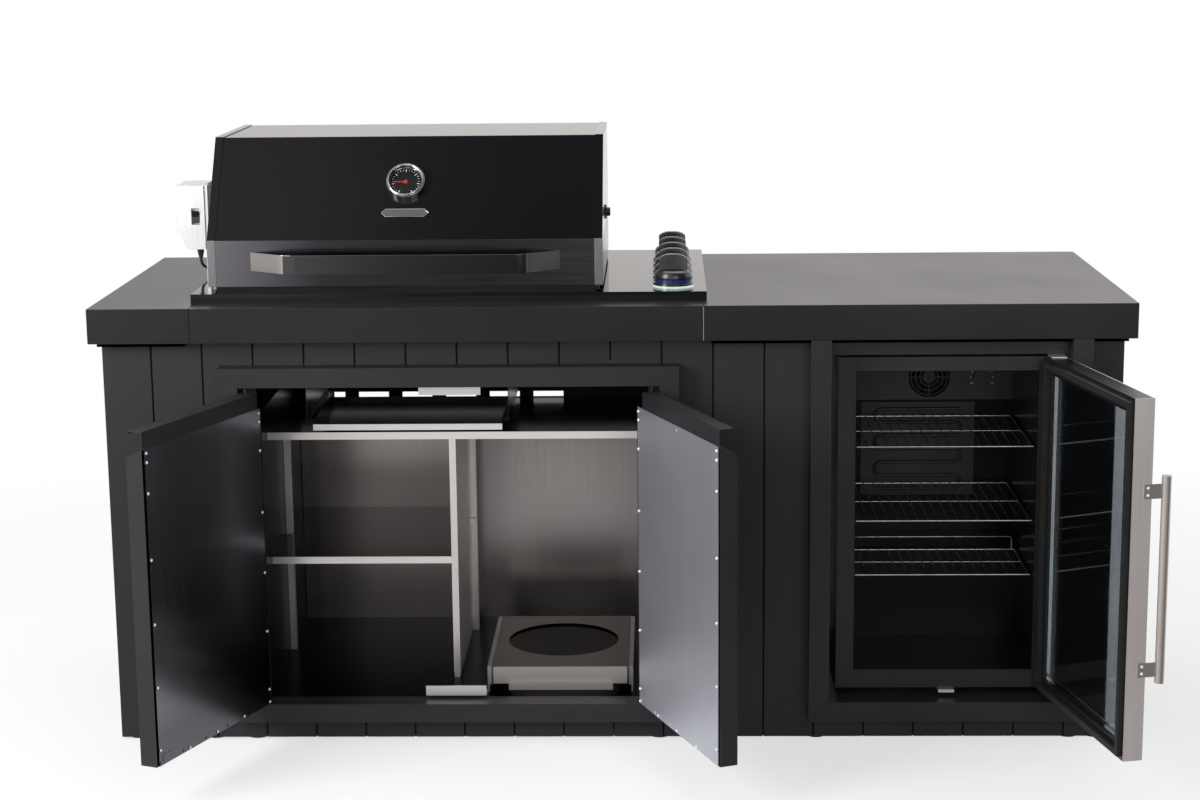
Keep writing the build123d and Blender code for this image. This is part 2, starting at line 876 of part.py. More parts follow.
with BuildPart() as upper_shelf:
    add_shelf(
        (cabinet_low_x + seam_gap, cabinet_high_x - seam_gap),
        (at(shelf_front_setback), cabinet_y[1] - seam_gap),
        upper_shelf_z,
        (upper_shelf_z - sheet, upper_shelf_z + upper_shelf_lip),
    )
upper_shelf.part.label = "upper_shelf"
export_step(upper_shelf.part, "parts/upper_shelf.step")

# Fittings: shelf posts with their clips, and the two magnet catches
with BuildPart() as cabinet_fittings:
    for wall_x, side, setback in (
        (cabinet_low_x + seam_gap, 1, left_post_setback),
        (divider_high_x + seam_gap, 1, right_post_setback),
    ):
        post_x = (wall_x, wall_x + side * post_depth)
        post_y = (at(setback), at(setback) + post_width)
        block(post_x, post_y, (middle_shelf_z + seam_gap, post_top_z))
        block(post_x, post_y, (cabinet_floor_z + seam_gap, middle_shelf_z - sheet - seam_gap))
        block(
            (post_x[0], post_x[0] + clip_depth),
            (post_y[0] - clip_width, post_y[0] - seam_gap),
            (middle_shelf_z - sheet - clip_height, middle_shelf_z - sheet - seam_gap),
        )
    catch_x = (catch_low_x, catch_high_x)
    catch_y = (at(catch_setback), at(catch_setback) + catch_thickness)
    board_back_y = front_y + board_thickness + seam_gap
    block(catch_x, catch_y, (upper_catch_low_z, upper_catch_high_z))
    block(
        catch_x,
        (catch_y[0], board_back_y + catch_leg_thickness),
        (upper_catch_high_z - catch_leg_thickness, upper_catch_high_z),
    )
    block(
        catch_x,
        (board_back_y, board_back_y + catch_leg_thickness),
        (upper_catch_high_z - catch_leg_thickness, upper_catch_high_z + catch_leg),
    )
    block(catch_x, catch_y, (lower_catch_low_z, lower_catch_high_z))
    lower_leg_y = (catch_y[0], cabinet_y[0] + catch_leg)
    block(catch_x, lower_leg_y, (lower_catch_low_z, lower_catch_low_z + catch_leg_thickness))
    block(
        catch_x,
        (lower_leg_y[1] - catch_leg_thickness, lower_leg_y[1]),
        (cabinet_floor_z, lower_catch_low_z + catch_leg_thickness),
    )
cabinet_fittings.part.label = "cabinet_fittings"
export_step(cabinet_fittings.part, "parts/cabinet_fittings.step")

# Cabinet doors. In a door's own frame x runs from the pin along the door, y runs
# from the outer face into the cabinet, and the door stands open at rest.
door_low_edge = -(door_pin_from_opening - door_edge_gap)
door_high_edge = (right_pin_x - left_pin_x - door_meeting_gap) / 2
door_outer_y = door_face_setback - door_pin_setback
door_inner_y = door_outer_y + door_thickness
sheet_front_y = door_inner_y - door_sheet
door_turn = radians(door_open_angle)
left_door_plane = Plane(
    (left_pin_x, door_pin_y, 0), x_dir=(cos(door_turn), -sin(door_turn), 0), z_dir=(0, 0, 1)
)
skin_back_y = sheet_front_y - seam_gap
slope_rate = (door_slope_high_z - door_slope_low_z) / door_thickness
skin_back_top_z = door_slope_low_z + slope_rate * (skin_back_y - door_outer_y)

with BuildPart(left_door_plane) as left_door_skin:
    section_plane = Plane(
        left_door_plane.from_local_coords(Vector(door_low_edge, 0, 0)),
        x_dir=left_door_plane.y_dir,
        z_dir=left_door_plane.x_dir,
    )
    with BuildSketch(section_plane):
        with BuildLine():
            Polyline(
                (door_outer_y, door_low_z),
                (skin_back_y, door_low_z),
                (skin_back_y, skin_back_top_z),
                (door_outer_y, door_slope_low_z),
                close=True,
            )
        make_face()
    extrude(amount=door_high_edge - door_low_edge)
    hollow_plane = section_plane.offset(door_sheet)
    with BuildSketch(hollow_plane):
        with BuildLine():
            Polyline(
                (door_outer_y + door_sheet, door_low_z + door_sheet),
                (skin_back_y + overrun, door_low_z + door_sheet),
                (skin_back_y + overrun, skin_back_top_z + overrun * slope_rate - door_sheet),
                (door_outer_y + door_sheet, door_slope_low_z - door_sheet),
                close=True,
            )
        make_face()
    extrude(amount=door_high_edge - door_low_edge - 2 * door_sheet, mode=Mode.SUBTRACT)
    half_block = hinge_block_side / 2
    block_x = (-half_block, half_block)
    block_y = (door_outer_y + door_sheet / 2, half_block)
    block(block_x, block_y, (door_low_z + door_sheet / 2, door_low_z + hinge_block_height))
    block(block_x, block_y, (door_slope_low_z - hinge_block_height, door_slope_low_z - door_sheet / 2))
    post(
        (0, 0),
        door_pin_radius + pin_clearance,
        (door_low_z - overrun, door_low_z + door_pin_reach + slide_gap),
        mode=Mode.SUBTRACT,
    )
    post(
        (0, 0),
        door_pin_radius + pin_clearance,
        (door_slope_low_z - hinge_block_height / 2 - slide_gap, door_slope_high_z + overrun),
        mode=Mode.SUBTRACT,
    )
    lip_x = (door_lip_start, door_high_edge)
    lip_back_y = (sheet_front_y, door_inner_y)
    lip_top_z = (door_high_z - door_sheet, door_high_z)
    lip_front_y = door_outer_y + door_lip_inset
    block(lip_x, lip_back_y, (door_slope_high_z + seam_gap, door_high_z))
    block(lip_x, (lip_front_y, door_inner_y), lip_top_z)
    block(lip_x, (lip_front_y, lip_front_y + door_sheet), (door_high_z - door_lip_drop, door_high_z))
left_door_skin.part.label = "left_door_skin"
export_step(left_door_skin.part, "parts/left_door_skin.step")

sheet_x = (door_low_edge + inner_sheet_side_gap, door_high_edge - inner_sheet_free_gap)
screw_x = (sheet_x[0] + screw_edge_distance, sheet_x[1] - screw_edge_distance)
sheet_width = screw_x[1] - screw_x[0]
bottom_screw_count = 4
screw_places = [(x, door_slope_high_z - drop) for x in screw_x for drop in screw_drops]
screw_places += [
    (screw_x[0] + sheet_width * (k + 1) / (bottom_screw_count + 1), door_low_z + screw_edge_distance)
    for k in range(bottom_screw_count)
]
screw_places.append((screw_x[0] + sheet_width / 2, door_slope_high_z - screw_drops[0]))
screw_face_y = door_inner_y + pin_clearance

with BuildPart(left_door_plane) as left_door_sheet:
    block(sheet_x, (sheet_front_y, door_inner_y), (door_low_z, door_slope_high_z))
    for x, z in screw_places:
        bar_along(
            (0, 1, 0),
            (x, sheet_front_y - overrun, z),
            door_sheet + 2 * overrun,
            screw_shank_radius + pin_clearance,
            mode=Mode.SUBTRACT,
        )
    for x, z in screw_places:
        bar_along((0, 1, 0), (x, sheet_front_y, z), door_sheet + pin_clearance, screw_shank_radius)
        bar_along((0, 1, 0), (x, screw_face_y, z), screw_head_height, screw_head_radius)
    strike_x = (sheet_x[1] - strike_edge_distance - strike_width, sheet_x[1] - strike_edge_distance)
    strike_low_z = (lower_catch_low_z + lower_catch_high_z - strike_height) / 2
    strike_z = (strike_low_z, strike_low_z + strike_height)
    block(strike_x, (screw_face_y, screw_face_y + strike_thickness), strike_z)
left_door_sheet.part.label = "left_door_sheet"
export_step(left_door_sheet.part, "parts/left_door_sheet.step")

mirror_plane = Plane.YZ.offset(door_centre_x)
with BuildPart() as right_door_skin:
    mirror(left_door_skin.part, about=mirror_plane)
right_door_skin.part.label = "right_door_skin"
export_step(right_door_skin.part, "parts/right_door_skin.step")

with BuildPart() as right_door_sheet:
    mirror(left_door_sheet.part, about=mirror_plane)
right_door_sheet.part.label = "right_door_sheet"
export_step(right_door_sheet.part, "parts/right_door_sheet.step")

# Telescopic runners of the bottle tray: three flat bars on each side
def runner_bars(step):
    """The bar that lies a number of steps out from the tray, on each side."""
    distance = seam_gap + step * (runner_bar + slide_gap)
    return (
        (bottle_tray_low_x - distance - runner_bar, bottle_tray_low_x - distance),
        (bottle_tray_high_x + distance, bottle_tray_high_x + distance + runner_bar),
    )


runner_y = (at(runner_front_setback), at(runner_front_setback) + runner_length)
runner_z = (bottle_tray_z - runner_height, bottle_tray_z)

# Bottle tray with a round hole that holds the bottle's foot ring
tray_x = (bottle_tray_low_x, bottle_tray_high_x)
tray_y = (at(bottle_tray_front_setback), at(bottle_tray_back_setback))
hole_centre = ((bottle_tray_low_x + bottle_tray_high_x) / 2, at(bottle_hole_setback))
lip_low_z = bottle_tray_low_z - tray_lip_drop
with BuildPart() as gas_tray:
    block(tray_x, tray_y, (bottle_tray_z - bottle_tray_sheet, bottle_tray_z))
    block(tray_x, (tray_y[0], tray_y[0] + bottle_tray_sheet), (bottle_tray_low_z, bottle_tray_z))
    for side_x in (
        (bottle_tray_low_x, bottle_tray_low_x + bottle_tray_sheet),
        (bottle_tray_high_x - bottle_tray_sheet, bottle_tray_high_x),
    ):
        block(side_x, tray_y, (bottle_tray_low_z, bottle_tray_z))
    lip_x = (tray_lip_low_x, tray_lip_high_x)
    block(
        lip_x,
        (tray_y[0] - tray_lip_reach, tray_y[0] + bottle_tray_sheet),
        (bottle_tray_low_z, bottle_tray_low_z + bottle_tray_sheet),
    )
    block(
        lip_x,
        (tray_y[0] - tray_lip_reach, tray_y[0] - tray_lip_reach + bottle_tray_sheet),
        (lip_low_z, bottle_tray_low_z + bottle_tray_sheet),
    )
    post(
        hole_centre,
        bottle_hole_radius + bottle_tray_sheet,
        (bottle_tray_z - bottle_hole_rim, bottle_tray_z),
    )
    post(
        hole_centre,
        bottle_hole_radius,
        (bottle_tray_low_z - overrun, bottle_tray_z + overrun),
        mode=Mode.SUBTRACT,
    )
    for bar_x in runner_bars(0):
        block(bar_x, runner_y, runner_z)
gas_tray.part.label = "gas_tray"
export_step(gas_tray.part, "parts/gas_tray.step")


with BuildPart() as gas_tray_middle_runners:
    for bar_x in runner_bars(1):
        block(bar_x, runner_y, runner_z)
gas_tray_middle_runners.part.label = "gas_tray_middle_runners"
export_step(gas_tray_middle_runners.part, "parts/gas_tray_middle_runners.step")

with BuildPart() as gas_tray_runners:
    for bar_x in runner_bars(2):
        block(bar_x, runner_y, runner_z)
        for foot_y in (runner_y[0], runner_y[1] - runner_foot):
            block(bar_x, (foot_y, foot_y + runner_foot), (cabinet_floor_z, runner_z[0]))
gas_tray_runners.part.label = "gas_tray_runners"
export_step(gas_tray_runners.part, "parts/gas_tray_runners.step")

# Drip tray, hung on two rails below the firebox
drip_x = (drip_tray_low_x, drip_tray_high_x)
drip_y = (at(shelf_front_setback), at(shelf_front_setback) + drip_tray_length)
drip_wall_z = (drip_tray_low_z, drip_tray_low_z + drip_tray_wall_height)
with BuildPart() as drip_tray:
    block(drip_x, drip_y, (drip_tray_low_z, drip_tray_low_z + sheet))
    block(drip_x, (drip_y[0], drip_y[0] + sheet), (drip_tray_low_z, drip_tray_low_z + drip_tray_front_height))
    block(drip_x, (drip_y[1] - sheet, drip_y[1]), (drip_tray_low_z, drip_tray_low_z + drip_tray_rear_height))
    for wall_x, flange_x in (
        ((drip_x[0], drip_x[0] + sheet), (drip_x[0] - drip_flange, drip_x[0] + sheet)),
        ((drip_x[1] - sheet, drip_x[1]), (drip_x[1] - sheet, drip_x[1] + drip_flange)),
    ):
        side_y = (drip_y[0] + drip_flange, drip_y[1])
        block(wall_x, side_y, drip_wall_z)
        block(flange_x, side_y, (drip_wall_z[1] - sheet, drip_wall_z[1]))
drip_tray.part.label = "drip_tray"
export_step(drip_tray.part, "parts/drip_tray.step")

# Each rail is an angle: a ledge under the tray's flange and a web up to the firebox
rail_top_z = drip_wall_z[1] - sheet - slide_gap
with BuildPart() as drip_tray_rails:
    for ledge_x, web_x in (
        (
            (drip_x[0] - drip_rail_height, drip_x[0] - slide_gap),
            (drip_x[0] - drip_rail_height, drip_x[0] - drip_rail_height + sheet),
        ),
        (
            (drip_x[1] + slide_gap, drip_x[1] + drip_rail_height),
            (drip_x[1] + drip_rail_height - sheet, drip_x[1] + drip_rail_height),
        ),
    ):
        block(ledge_x, drip_y, (rail_top_z - sheet, rail_top_z))
        block(web_x, drip_y, (rail_top_z - sheet, firebox_low_z - seam_gap))
drip_tray_rails.part.label = "drip_tray_rails"
export_step(drip_tray_rails.part, "parts/drip_tray_rails.step")

# Barbecue deck: a shallow tray turned over, open above the firebox and the valves
firebox_x = (firebox_low_x, firebox_high_x)
firebox_y = (at(firebox_front_setback), at(firebox_back_setback))
knob_places = [(knob_x, at(knob_first_setback + k * knob_pitch)) for k in range(knob_count)]
deck_x = (deck_low_x, deck_high_x)
deck_y = (at(deck_front_setback), at(deck_back_setback))
with BuildPart() as bbq_deck:
    block(deck_x, deck_y, (worktop_top_z, deck_z))
    block(
        (deck_x[0] + deck_sheet, deck_x[1] - deck_sheet),
        (deck_y[0] + deck_sheet, deck_y[1] - deck_sheet),
        (worktop_top_z - overrun, deck_z - deck_sheet),
        mode=Mode.SUBTRACT,
    )
    block(
        (firebox_x[0] - seam_gap, firebox_x[1] + seam_gap),
        (firebox_y[0] - seam_gap, firebox_y[1] + seam_gap),
        (worktop_top_z - overrun, deck_z + overrun),
        mode=Mode.SUBTRACT,
    )
    for centre in knob_places:
        stem_hole_z = (deck_z - deck_sheet - overrun, deck_z + overrun)
        post(centre, knob_stem_radius + seam_gap, stem_hole_z, mode=Mode.SUBTRACT)
bbq_deck.part.label = "bbq_deck"
export_step(bbq_deck.part, "parts/bbq_deck.step")

# Firebox: four walls with a flange on the deck, a floor open over the drip tray,
# ledges for the grates and two ears that carry the hood
firebox_top_z = deck_z + firebox_rise
box_z = (firebox_low_z, firebox_top_z)
burner_z = deck_z - burner_drop
grate_top_z = deck_z - grate_drop
ledge_z = (grate_top_z - grate_bar - seam_gap - ledge_thickness, grate_top_z - grate_bar - seam_gap)
pivot_y = at(hood_pivot_setback)
drain_x = ((drip_x[0] + drip_x[1] - drain_width) / 2, (drip_x[0] + drip_x[1] + drain_width) / 2)
drain_y = ((firebox_y[0] + firebox_y[1] - drain_depth) / 2, (firebox_y[0] + firebox_y[1] + drain_depth) / 2)
inner_x = (firebox_x[0] + sheet + seam_gap, firebox_x[1] - sheet - seam_gap)
inner_y = (firebox_y[0] + sheet + seam_gap, firebox_y[1] - sheet - seam_gap)
ear_x = (
    (hood_low_x + hood_sheet + slide_gap, hood_low_x + hood_sheet + slide_gap + ear_thickness),
    (hood_high_x - hood_sheet - slide_gap - ear_thickness, hood_high_x - hood_sheet - slide_gap),
)
with BuildPart() as firebox:
    block((firebox_x[0], firebox_x[0] + sheet), firebox_y, box_z)
    block((firebox_x[1] - sheet, firebox_x[1]), firebox_y, box_z)
    for y in knob_places:
        bar_along(
            (1, 0, 0),
            (firebox_x[1] - sheet - overrun, y[1], burner_z),
            sheet + 2 * overrun,
            venturi_radius + seam_gap,
            mode=Mode.SUBTRACT,
        )
    wall_x = (firebox_x[0] + sheet + seam_gap, firebox_x[1] - sheet - seam_gap)
    block(wall_x, (firebox_y[0], firebox_y[0] + sheet), box_z)
    block(wall_x, (firebox_y[1] - sheet, firebox_y[1]), box_z)
    flange_z = (deck_z, deck_z + sheet)
    block((firebox_x[0] - firebox_flange, firebox_x[0] - seam_gap), firebox_y, flange_z)
    block((firebox_x[1] + seam_gap, firebox_x[1] + firebox_flange), firebox_y, flange_z)
    block(wall_x, (firebox_y[0] - firebox_flange, firebox_y[0] - seam_gap), flange_z)
    block(wall_x, (firebox_y[1] + seam_gap, firebox_y[1] + firebox_flange), flange_z)
    floor_z = (firebox_low_z, firebox_low_z + sheet)
    block((inner_x[0], drain_x[0]), inner_y, floor_z)
    block((drain_x[1], inner_x[1]), inner_y, floor_z)
    block((drain_x[0] + seam_gap, drain_x[1] - seam_gap), (inner_y[0], drain_y[0]), floor_z)
    block((drain_x[0] + seam_gap, drain_x[1] - seam_gap), (drain_y[1], inner_y[1]), floor_z)
    block(inner_x, (inner_y[0], inner_y[0] + ledge_depth), ledge_z)
    block(inner_x, (inner_y[1] - ledge_depth, inner_y[1]), ledge_z)
    for span in ear_x:
        block(span, (pivot_y - ear_radius, pivot_y + ear_radius), (deck_z, hood_pivot_z))
        bar_along((1, 0, 0), (span[0], pivot_y, hood_pivot_z), ear_thickness, ear_radius)
        bar_along(
            (1, 0, 0),
            (span[0] - overrun, pivot_y, hood_pivot_z),
            ear_thickness + 2 * overrun,
            pivot_radius + pin_clearance,
            mode=Mode.SUBTRACT,
        )
firebox.part.label = "firebox"
export_step(firebox.part, "parts/firebox.step")

# Burner tubes run from left to right, each fed by the valve under its knob
burner_x = (inner_x[0] + burner_end_gap, inner_x[1] - burner_end_gap)
venturi_end_x = firebox_x[1] + venturi_reach
valve_x = (knob_x - valve_side / 2, knob_x + valve_side / 2)
with BuildPart() as burners:
    for x, y in knob_places:
        bar_along((1, 0, 0), (burner_x[0], y, burner_z), burner_x[1] - burner_x[0], burner_radius)
        bar_along((1, 0, 0), (burner_x[1], y, burner_z), venturi_end_x - burner_x[1], venturi_radius)
        bar_along(
            (1, 0, 0),
            (burner_x[0] + burner_wall, y, burner_z),
            burner_x[1] - burner_x[0] - 2 * burner_wall,
            burner_radius - burner_wall,
            mode=Mode.SUBTRACT,
        )
        bar_along(
            (1, 0, 0),
            (burner_x[1] - 2 * burner_wall, y, burner_z),
            venturi_end_x - burner_x[1] + overrun,
            venturi_radius - burner_wall,
            mode=Mode.SUBTRACT,
        )
burners.part.label = "burners"
export_step(burners.part, "parts/burners.step")

tamer_low_z = burner_z + burner_radius + tamer_rise - tamer_height
with BuildPart() as flame_tamers:
    for x, y in knob_places:
        with BuildSketch(Plane((inner_x[0], y, tamer_low_z), x_dir=(0, 1, 0), z_dir=(1, 0, 0))):
            with BuildLine():
                Polyline(
                    (-tamer_half_width, 0),
                    (0, tamer_height),
                    (tamer_half_width, 0),
                    (tamer_half_width - 2 * tamer_sheet, 0),
                    (0, tamer_height - 2 * tamer_sheet),
                    (-tamer_half_width + 2 * tamer_sheet, 0),
                    close=True,
                )
            make_face()
        extrude(amount=inner_x[1] - inner_x[0])
flame_tamers.part.label = "flame_tamers"
export_step(flame_tamers.part, "parts/flame_tamers.step")

# Cooking grates: bars from front to back, joined by a bar along each end
grate_span_x = inner_x[1] - inner_x[0]
grate_width = (grate_span_x - (grate_count + 1) * grate_gap) / grate_count
grate_y = (inner_y[0] + slide_gap, inner_y[1] - slide_gap)
grate_z = (grate_top_z - grate_bar, grate_top_z)
with BuildPart() as cooking_grates:
    for k in range(grate_count):
        low_x = inner_x[0] + grate_gap + k * (grate_width + grate_gap)
        bar_step = (grate_width - grate_bar) / (grate_bar_count - 1)
        for n in range(grate_bar_count):
            bar_x = low_x + n * bar_step
            block((bar_x, bar_x + grate_bar), grate_y, grate_z)
        for end_y in (grate_y[0], (grate_y[0] + grate_y[1] - grate_bar) / 2, grate_y[1] - grate_bar):
            block((low_x, low_x + grate_width), (end_y, end_y + grate_bar), grate_z)
cooking_grates.part.label = "cooking_grates"
export_step(cooking_grates.part, "parts/cooking_grates.step")

# Gas manifold with a valve under each knob. Each valve has a jet into its burner.
valve_z = (deck_z - valve_low_drop, deck_z - valve_top_drop)
manifold_z = valve_z[0] - manifold_radius - seam_gap
manifold_y = (knob_places[0][1] - valve_side, knob_places[-1][1] + valve_side)
jet_radius = venturi_radius - 2 * burner_wall - seam_gap
with BuildPart() as gas_manifold:
    for centre in knob_places:
        valve_y = (centre[1] - valve_side / 2, centre[1] + valve_side / 2)
        block(valve_x, valve_y, valve_z)
        bar_along(
            (1, 0, 0),
            (venturi_end_x - burner_end_gap, centre[1], burner_z),
            valve_x[0] - venturi_end_x + burner_end_gap,
            jet_radius,
        )
    bar_along((0, 1, 0), (knob_x, manifold_y[0], manifold_z), manifold_y[1] - manifold_y[0], manifold_radius)
    bar_along(
        (0, 1, 0),
        (knob_x, manifold_y[0] + manifold_wall, manifold_z),
        manifold_y[1] - manifold_y[0] + overrun,
        manifold_radius - 2 * manifold_wall,
        mode=Mode.SUBTRACT,
    )
    for centre in knob_places:
        post(
            centre,
            knob_stem_radius + pin_clearance,
            (valve_z[1] - valve_side, valve_z[1] + overrun),
            mode=Mode.SUBTRACT,
        )
    for end_y in (manifold_y[0], manifold_y[1] - valve_side / 2):
        strap_y = (end_y, end_y + valve_side / 2)
        block(
            (valve_x[1] + seam_gap, valve_x[1] + seam_gap + sheet),
            strap_y,
            (valve_z[0], deck_z - deck_sheet - seam_gap),
        )
gas_manifold.part.label = "gas_manifold"
export_step(gas_manifold.part, "parts/gas_manifold.step")

# Knob bezels, each with a ring that lights up
bezel_z = (deck_z, deck_z + bezel_height)
ring_z = (bezel_z[1], bezel_z[1] + ring_height)
with BuildPart() as knob_bezels:
    for centre in knob_places:
        post(centre, bezel_radius, bezel_z)
        post(centre, ring_radius, ring_z)
        post(centre, ring_bore_radius, (bezel_z[0] + deck_sheet, ring_z[1] + overrun), mode=Mode.SUBTRACT)
        post(centre, knob_stem_radius + seam_gap, (bezel_z[0] - overrun, ring_z[1]), mode=Mode.SUBTRACT)
    bezel_edges = knob_bezels.edges().filter_by(GeomType.CIRCLE).filter_by_position(
        Axis.Z,
        bezel_z[1],
        bezel_z[1],
    )
    fillet([e for e in bezel_edges if abs(e.radius - bezel_radius) < seam_gap], deck_sheet)
knob_bezels.part.label = "knob_bezels"
export_step(knob_bezels.part, "parts/knob_bezels.step")

skirt_z = (ring_z[1] + slide_gap, ring_z[1] + slide_gap + knob_skirt_height)
for number, centre in enumerate(knob_places, start=1):
    with BuildPart() as knob:
        with BuildSketch(Plane((centre[0], centre[1], skirt_z[0]))):
            Circle(knob_skirt_radius)
        with BuildSketch(Plane((centre[0], centre[1], skirt_z[1]))):
            Circle(knob_top_radius)
        loft()
        grip_x = (centre[0] - grip_length / 2, centre[0] + grip_length / 2)
        grip_y = (centre[1] - grip_width / 2, centre[1] + grip_width / 2)
        block(grip_x, grip_y, (skirt_z[1], skirt_z[1] + grip_height))
        grip_top = knob.faces().sort_by(Axis.Z)[-1]
        fillet(grip_top.edges(), grip_fillet)
        post(centre, knob_stem_radius, (valve_z[1] - valve_side / 2, skirt_z[0]))
    knob.part.label = f"knob_{number}"
    export_step(knob.part, f"parts/knob_{number}.step")

# Hood: a folded black front and top, a steel band below it and two end plates
band_y = at(hood_front_setback)
brow = (at(hood_brow_setback), hood_brow_z)
crown = (at(hood_crown_setback), hood_crown_z)
hood_x = (hood_low_x + hood_sheet + seam_gap, hood_high_x - hood_sheet - seam_gap)
hood_width = hood_x[1] - hood_x[0]


hood_outline = [Vector(*place) for place in ((band_y, hood_low_z), (band_y, hood_band_z), brow, crown)]
hood_outline.append(Vector(crown[0], hood_back_low_z))


def inner_corner(index):
    """The place inside the outline's corner, one sheet thickness from both plates."""
    here = hood_outline[index]
    normals = []
    for start, end in ((index - 1, index), (index, index + 1)):
        if start >= 0 and end < len(hood_outline):
            along = hood_outline[end] - hood_outline[start]
            normals.append(Vector(along.Y, -along.X).normalized())
    middle = sum(normals, Vector()).normalized()
    return here + middle * (hood_sheet / middle.dot(normals[0]))


def add_plate(index):
    """One flat plate across the hood, mitred to its neighbours with a hairline between."""
    start, end = hood_outline[index], hood_outline[index + 1]
    gap = (end - start).normalized() * (seam_gap / 2)
    corners = (start + gap, end - gap, inner_corner(index + 1) - gap, inner_corner(index) + gap)
    with BuildSketch(Plane((hood_x[0], 0, 0), x_dir=(0, 1, 0), z_dir=(1, 0, 0))) as profile:
        with BuildLine():
            Polyline(*[(place.X, place.Y) for place in corners], close=True)
        make_face()
    extrude(profile.sketch, amount=hood_width)


with BuildPart() as hood_band:
    add_plate(0)
hood_band.part.label = "hood_band"
export_step(hood_band.part, "parts/hood_band.step")

with BuildPart() as hood_panel:
    for plate in (1, 2, 3):
        add_plate(plate)
hood_panel.part.label = "hood_panel"
export_step(hood_panel.part, "parts/hood_panel.step")

lobe_y = pivot_y + pivot_lug_reach
with BuildPart() as hood_ends:
    for plate_x in (hood_low_x, hood_high_x - hood_sheet):
        with BuildSketch(Plane((plate_x, 0, 0), x_dir=(0, 1, 0), z_dir=(1, 0, 0))):
            with BuildLine():
                Polyline(
                    (band_y, hood_low_z),
                    (band_y, hood_band_z),
                    brow,
                    crown,
                    (lobe_y, hood_pivot_z + pivot_lug_reach),
                    (lobe_y, hood_pivot_z - pivot_lug_reach),
                    (pivot_y - pivot_lug_reach, hood_low_z),
                    close=True,
                )
            make_face()
        extrude(amount=hood_sheet)
    for plate_x, span in ((hood_low_x, ear_x[0]), (hood_high_x - hood_sheet, ear_x[1])):
        low = min(plate_x, span[0])
        high = max(plate_x + hood_sheet, span[1])
        bar_along((1, 0, 0), (low, pivot_y, hood_pivot_z), high - low, pivot_radius)
hood_ends.part.label = "hood_ends"
export_step(hood_ends.part, "parts/hood_ends.step")

# Hood handle: one flat strap bent back to the band at both ends
strap_back_y = band_y - seam_gap
reach_y = at(handle_reach_setback)
with BuildPart() as hood_handle:
    with BuildSketch(Plane.XY.offset(handle_low_z)):
        with BuildLine():
            Polyline(
                (handle_end_low_x, strap_back_y),
                (handle_bend_low_x, reach_y),
                (handle_bend_high_x, reach_y),
                (handle_end_high_x, strap_back_y),
                (handle_end_high_x - 2 * handle_strap, strap_back_y),
                (handle_bend_high_x - handle_strap / 2, reach_y + handle_strap),
                (handle_bend_low_x + handle_strap / 2, reach_y + handle_strap),
                (handle_end_low_x + 2 * handle_strap, strap_back_y),
                close=True,
            )
        make_face()
    extrude(amount=handle_high_z - handle_low_z)
hood_handle.part.label = "hood_handle"
export_step(hood_handle.part, "parts/hood_handle.step")

# Gauge on the sloping front: a case with a raised rim, a dial face and a needle
slope = Vector(0, brow[0] - band_y, brow[1] - hood_band_z).normalized()
slope_out = Vector(0, -slope.Z, slope.Y)
gauge_share = (at(gauge_setback) - band_y) / (brow[0] - band_y)
gauge_z = hood_band_z + gauge_share * (brow[1] - hood_band_z)
gauge_seat = Vector(gauge_x, at(gauge_setback), gauge_z) + slope_out * seam_gap
gauge_plane = Plane(gauge_seat, x_dir=(1, 0, 0), z_dir=slope_out)
dial_level = gauge_height - gauge_recess
gauge_align = (Align.CENTER, Align.CENTER, Align.MIN)
with BuildPart(gauge_plane) as gauge_case:
    Cylinder(gauge_radius, gauge_height, align=gauge_align)
    with Locations((0, 0, dial_level)):
        Cylinder(gauge_radius - gauge_rim, gauge_recess + overrun, align=gauge_align, mode=Mode.SUBTRACT)
    with Locations((0, 0, dial_level)):
        Cylinder(gauge_post_radius, gauge_recess / 2, align=gauge_align)
gauge_case.part.label = "gauge_case"
export_step(gauge_case.part, "parts/gauge_case.step")

needle_plane = gauge_plane.offset(dial_level + slide_gap)
with BuildPart(needle_plane) as gauge_needle:
    Cylinder(needle_hub_radius, needle_thickness, align=gauge_align)
    with Locations((-needle_length / 2, 0, 0)):
        Box(needle_length, needle_width, needle_thickness, align=gauge_align)
    Cylinder(
        gauge_post_radius + pin_clearance,
        needle_thickness + overrun,
        align=gauge_align,
        mode=Mode.SUBTRACT,
    )
gauge_needle.part.label = "gauge_needle"
export_step(gauge_needle.part, "parts/gauge_needle.step")

